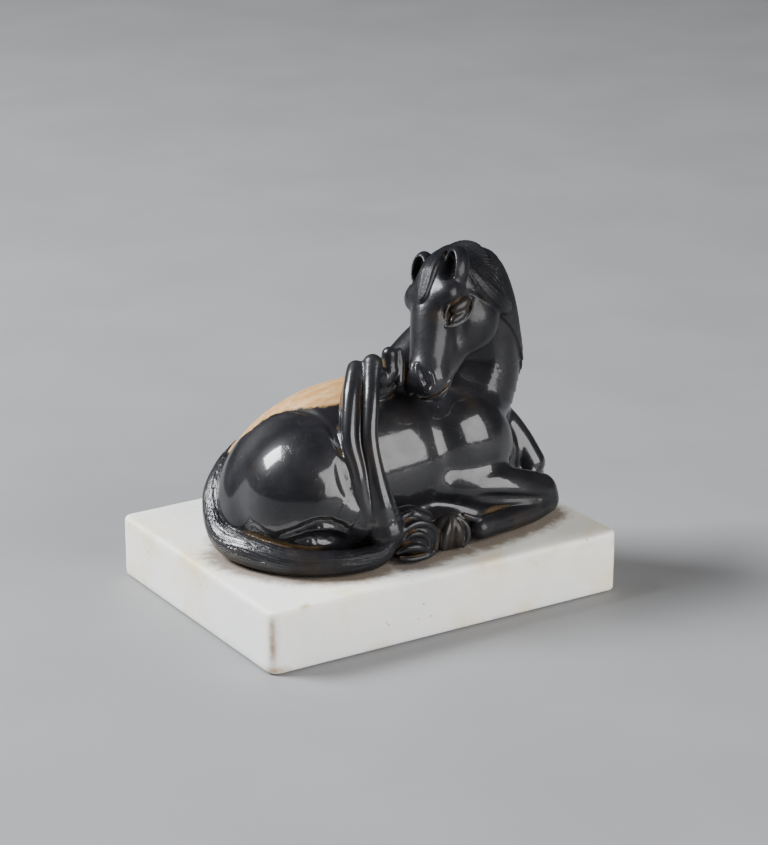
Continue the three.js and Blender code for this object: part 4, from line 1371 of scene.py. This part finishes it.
def marble(effects):
    """Old white marble: cool and cream clouds, waxy depth, stained edges, brown grime and painted contact
    shadow round the horse.
    """
    material, sheet, surface = new_material("old white marble")
    place = sheet.in_millimetres()
    edge = sheet.measure("edge")
    cloud = sheet.ramp(sheet.grain(place, 0.035, 4.0, 0.55, 0.8), 0.4, 0.62)
    stone = sheet.mix(cloud, COOL_MARBLE, WHITE_MARBLE)
    cream = sheet.ramp(sheet.grain(place, 0.06, 4.0, 0.6), 0.45, 0.7)
    near_edge = sheet.ramp(edge, 0.0, 7.0, 1.0, 0.3)
    stone = sheet.mix(sheet.math("MULTIPLY", cream, near_edge), stone, CREAM_MARBLE)

    stain = used(
        sheet,
        effects["dirt"],
        {"Place": place, "Shelter": sheet.measure("stain"), "Grain": 0.5, "Start": 0.15, "Full": 1.0},
    )
    stone = sheet.mix(sheet.math("MULTIPLY", stain, 0.9), stone, YELLOW_STAIN)
    # Brown grime with painted contact shadow: darker brown the closer the marble lies to the horse
    closeness = sheet.ramp(sheet.measure("contact"), 0.4, 6.5, 1.3, 0.0, smooth=False)
    grime_and_shade = used(
        sheet,
        effects["dirt"],
        {"Place": place, "Shelter": closeness, "Grain": 0.4, "Start": 0.3, "Full": 1.15},
    )
    stone = sheet.mix(sheet.math("MULTIPLY", grime_and_shade, 0.85), stone, BROWN_GRIME_AND_SHADE)
    pits = used(
        sheet,
        effects["pits"],
        {"Place": place, "Density": 0.42, "Size": 0.15, "Spread": 0.12, "Rarity": 0.53},
    )
    stone = sheet.mix(sheet.math("MULTIPLY", pits, 0.8), stone, YELLOW_STAIN)
    sheet.feed(surface.inputs["Base Color"], stone)

    handling = sheet.grain(place, 0.15, 4.0, 0.6)
    rough = sheet.ramp(handling, 0.3, 0.7, 0.36, 0.5, smooth=False)
    rough = sheet.math("ADD", rough, sheet.math("MULTIPLY", grime_and_shade, 0.4), clamp=True)
    sheet.feed(surface.inputs["Roughness"], rough)
    surface.inputs["Subsurface Weight"].default_value = 0.35
    surface.inputs["Subsurface Radius"].default_value = (1.0, 0.78, 0.52)
    surface.inputs["Subsurface Scale"].default_value = 0.0035

    scratches = used(sheet, effects["scratches"], {"Place": place, "Density": 1.2})
    height = sheet.math("MULTIPLY", sheet.grain(place, 0.5, 5.0, 0.6), 0.09)
    height = sheet.math("SUBTRACT", height, sheet.math("MULTIPLY", pits, 0.25))
    height = sheet.math("SUBTRACT", height, sheet.math("MULTIPLY", scratches, 0.008))
    crust = sheet.math("MULTIPLY", sheet.math("MULTIPLY", sheet.grain(place, 2.6, 4.0), grime_and_shade), 0.25)
    height = sheet.math("ADD", height, crust)
    bump = sheet.add("ShaderNodeBump", {"Height": height, "Strength": 1.0, "Distance": MM})
    sheet.feed(surface.inputs["Normal"], bump.outputs[0])
    return material


# Studio


def make_floor():
    bpy.ops.mesh.primitive_plane_add(size=6, location=(0, 0, -0.00015))
    floor = bpy.context.object
    floor.name = "studio_floor"
    material, sheet, surface = new_material("pale studio floor")
    place = sheet.in_millimetres()
    shade = sheet.ramp(sheet.grain(place, 0.02, 5.0), 0.3, 0.7)
    grey = sheet.mix(shade, rgb(0.235, 0.235, 0.24), rgb(0.255, 0.255, 0.26))
    sheet.feed(surface.inputs["Base Color"], grey)
    surface.inputs["Roughness"].default_value = 0.65
    floor.data.materials.append(material)
    floor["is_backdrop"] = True


CAMERA_AT = Vector((-0.33856, -0.54924, 0.26895))
CAMERA_TURN = math.radians(31.98)
CAMERA_DROP = math.radians(19.55)
CAMERA_LENS = 125.4


def make_camera():
    forward = Vector(
        (
            math.sin(CAMERA_TURN) * math.cos(CAMERA_DROP),
            math.cos(CAMERA_TURN) * math.cos(CAMERA_DROP),
            -math.sin(CAMERA_DROP),
        )
    )
    lens = bpy.data.cameras.new("studio_camera")
    lens.lens = CAMERA_LENS
    lens.sensor_width = 36
    lens.clip_end = 20
    camera = bpy.data.objects.new("studio_camera", lens)
    bpy.context.scene.collection.objects.link(camera)
    camera.location = CAMERA_AT
    camera.rotation_euler = forward.to_track_quat("-Z", "Y").to_euler()
    bpy.context.scene.camera = camera


def soft_box(name, at, aim, width, height, power, colour=(1, 1, 1)):
    lamp = bpy.data.lights.new(name, "AREA")
    lamp.shape = "RECTANGLE"
    lamp.size = width
    lamp.size_y = height
    lamp.energy = power
    lamp.color = colour
    holder = bpy.data.objects.new(name, lamp)
    bpy.context.scene.collection.objects.link(holder)
    holder.location = at
    holder.rotation_euler = (Vector(aim) - Vector(at)).to_track_quat("-Z", "Y").to_euler()


def towards(turn, height, distance):
    """A place round the object: turned from the front towards +X, and raised, in degrees."""
    turn, height = math.radians(turn), math.radians(height)
    flat = math.cos(height) * distance
    return (math.sin(turn) * flat, -math.cos(turn) * flat, math.sin(height) * distance)


def make_lights():
    centre = (0, 0, 0.035)
    soft_box("window_left", towards(-128, 44, 1.1), centre, 0.46, 0.46, 36, (0.95, 0.97, 1))
    soft_box("window_right", towards(22, 24, 1.2), centre, 1.05, 0.85, 22)
    world = bpy.data.worlds.new("studio_air")
    world.use_nodes = True
    world.node_tree.nodes["Background"].inputs["Color"].default_value = rgb(0.42, 0.44, 0.47)
    world.node_tree.nodes["Background"].inputs["Strength"].default_value = 0.06
    bpy.context.scene.world = world


def keep_sizes():
    boxes = [[list(map(float, corner)) for corner in box] for box in (cad_box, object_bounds())]


make_camera()
make_lights()
make_floor()
effects = {"scratches": build_scratches(), "dirt": build_settled_dirt_and_shade(), "pits": build_pits()}

horse, horse_form = make_horse_piece()
horse.data.materials.append(soapstone(effects))
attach(horse, "root")
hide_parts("horse")

plinth = make_plinth_piece(horse_form)
plinth.data.materials.append(marble(effects))
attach(plinth, "root")
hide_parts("plinth")

keep_sizes()
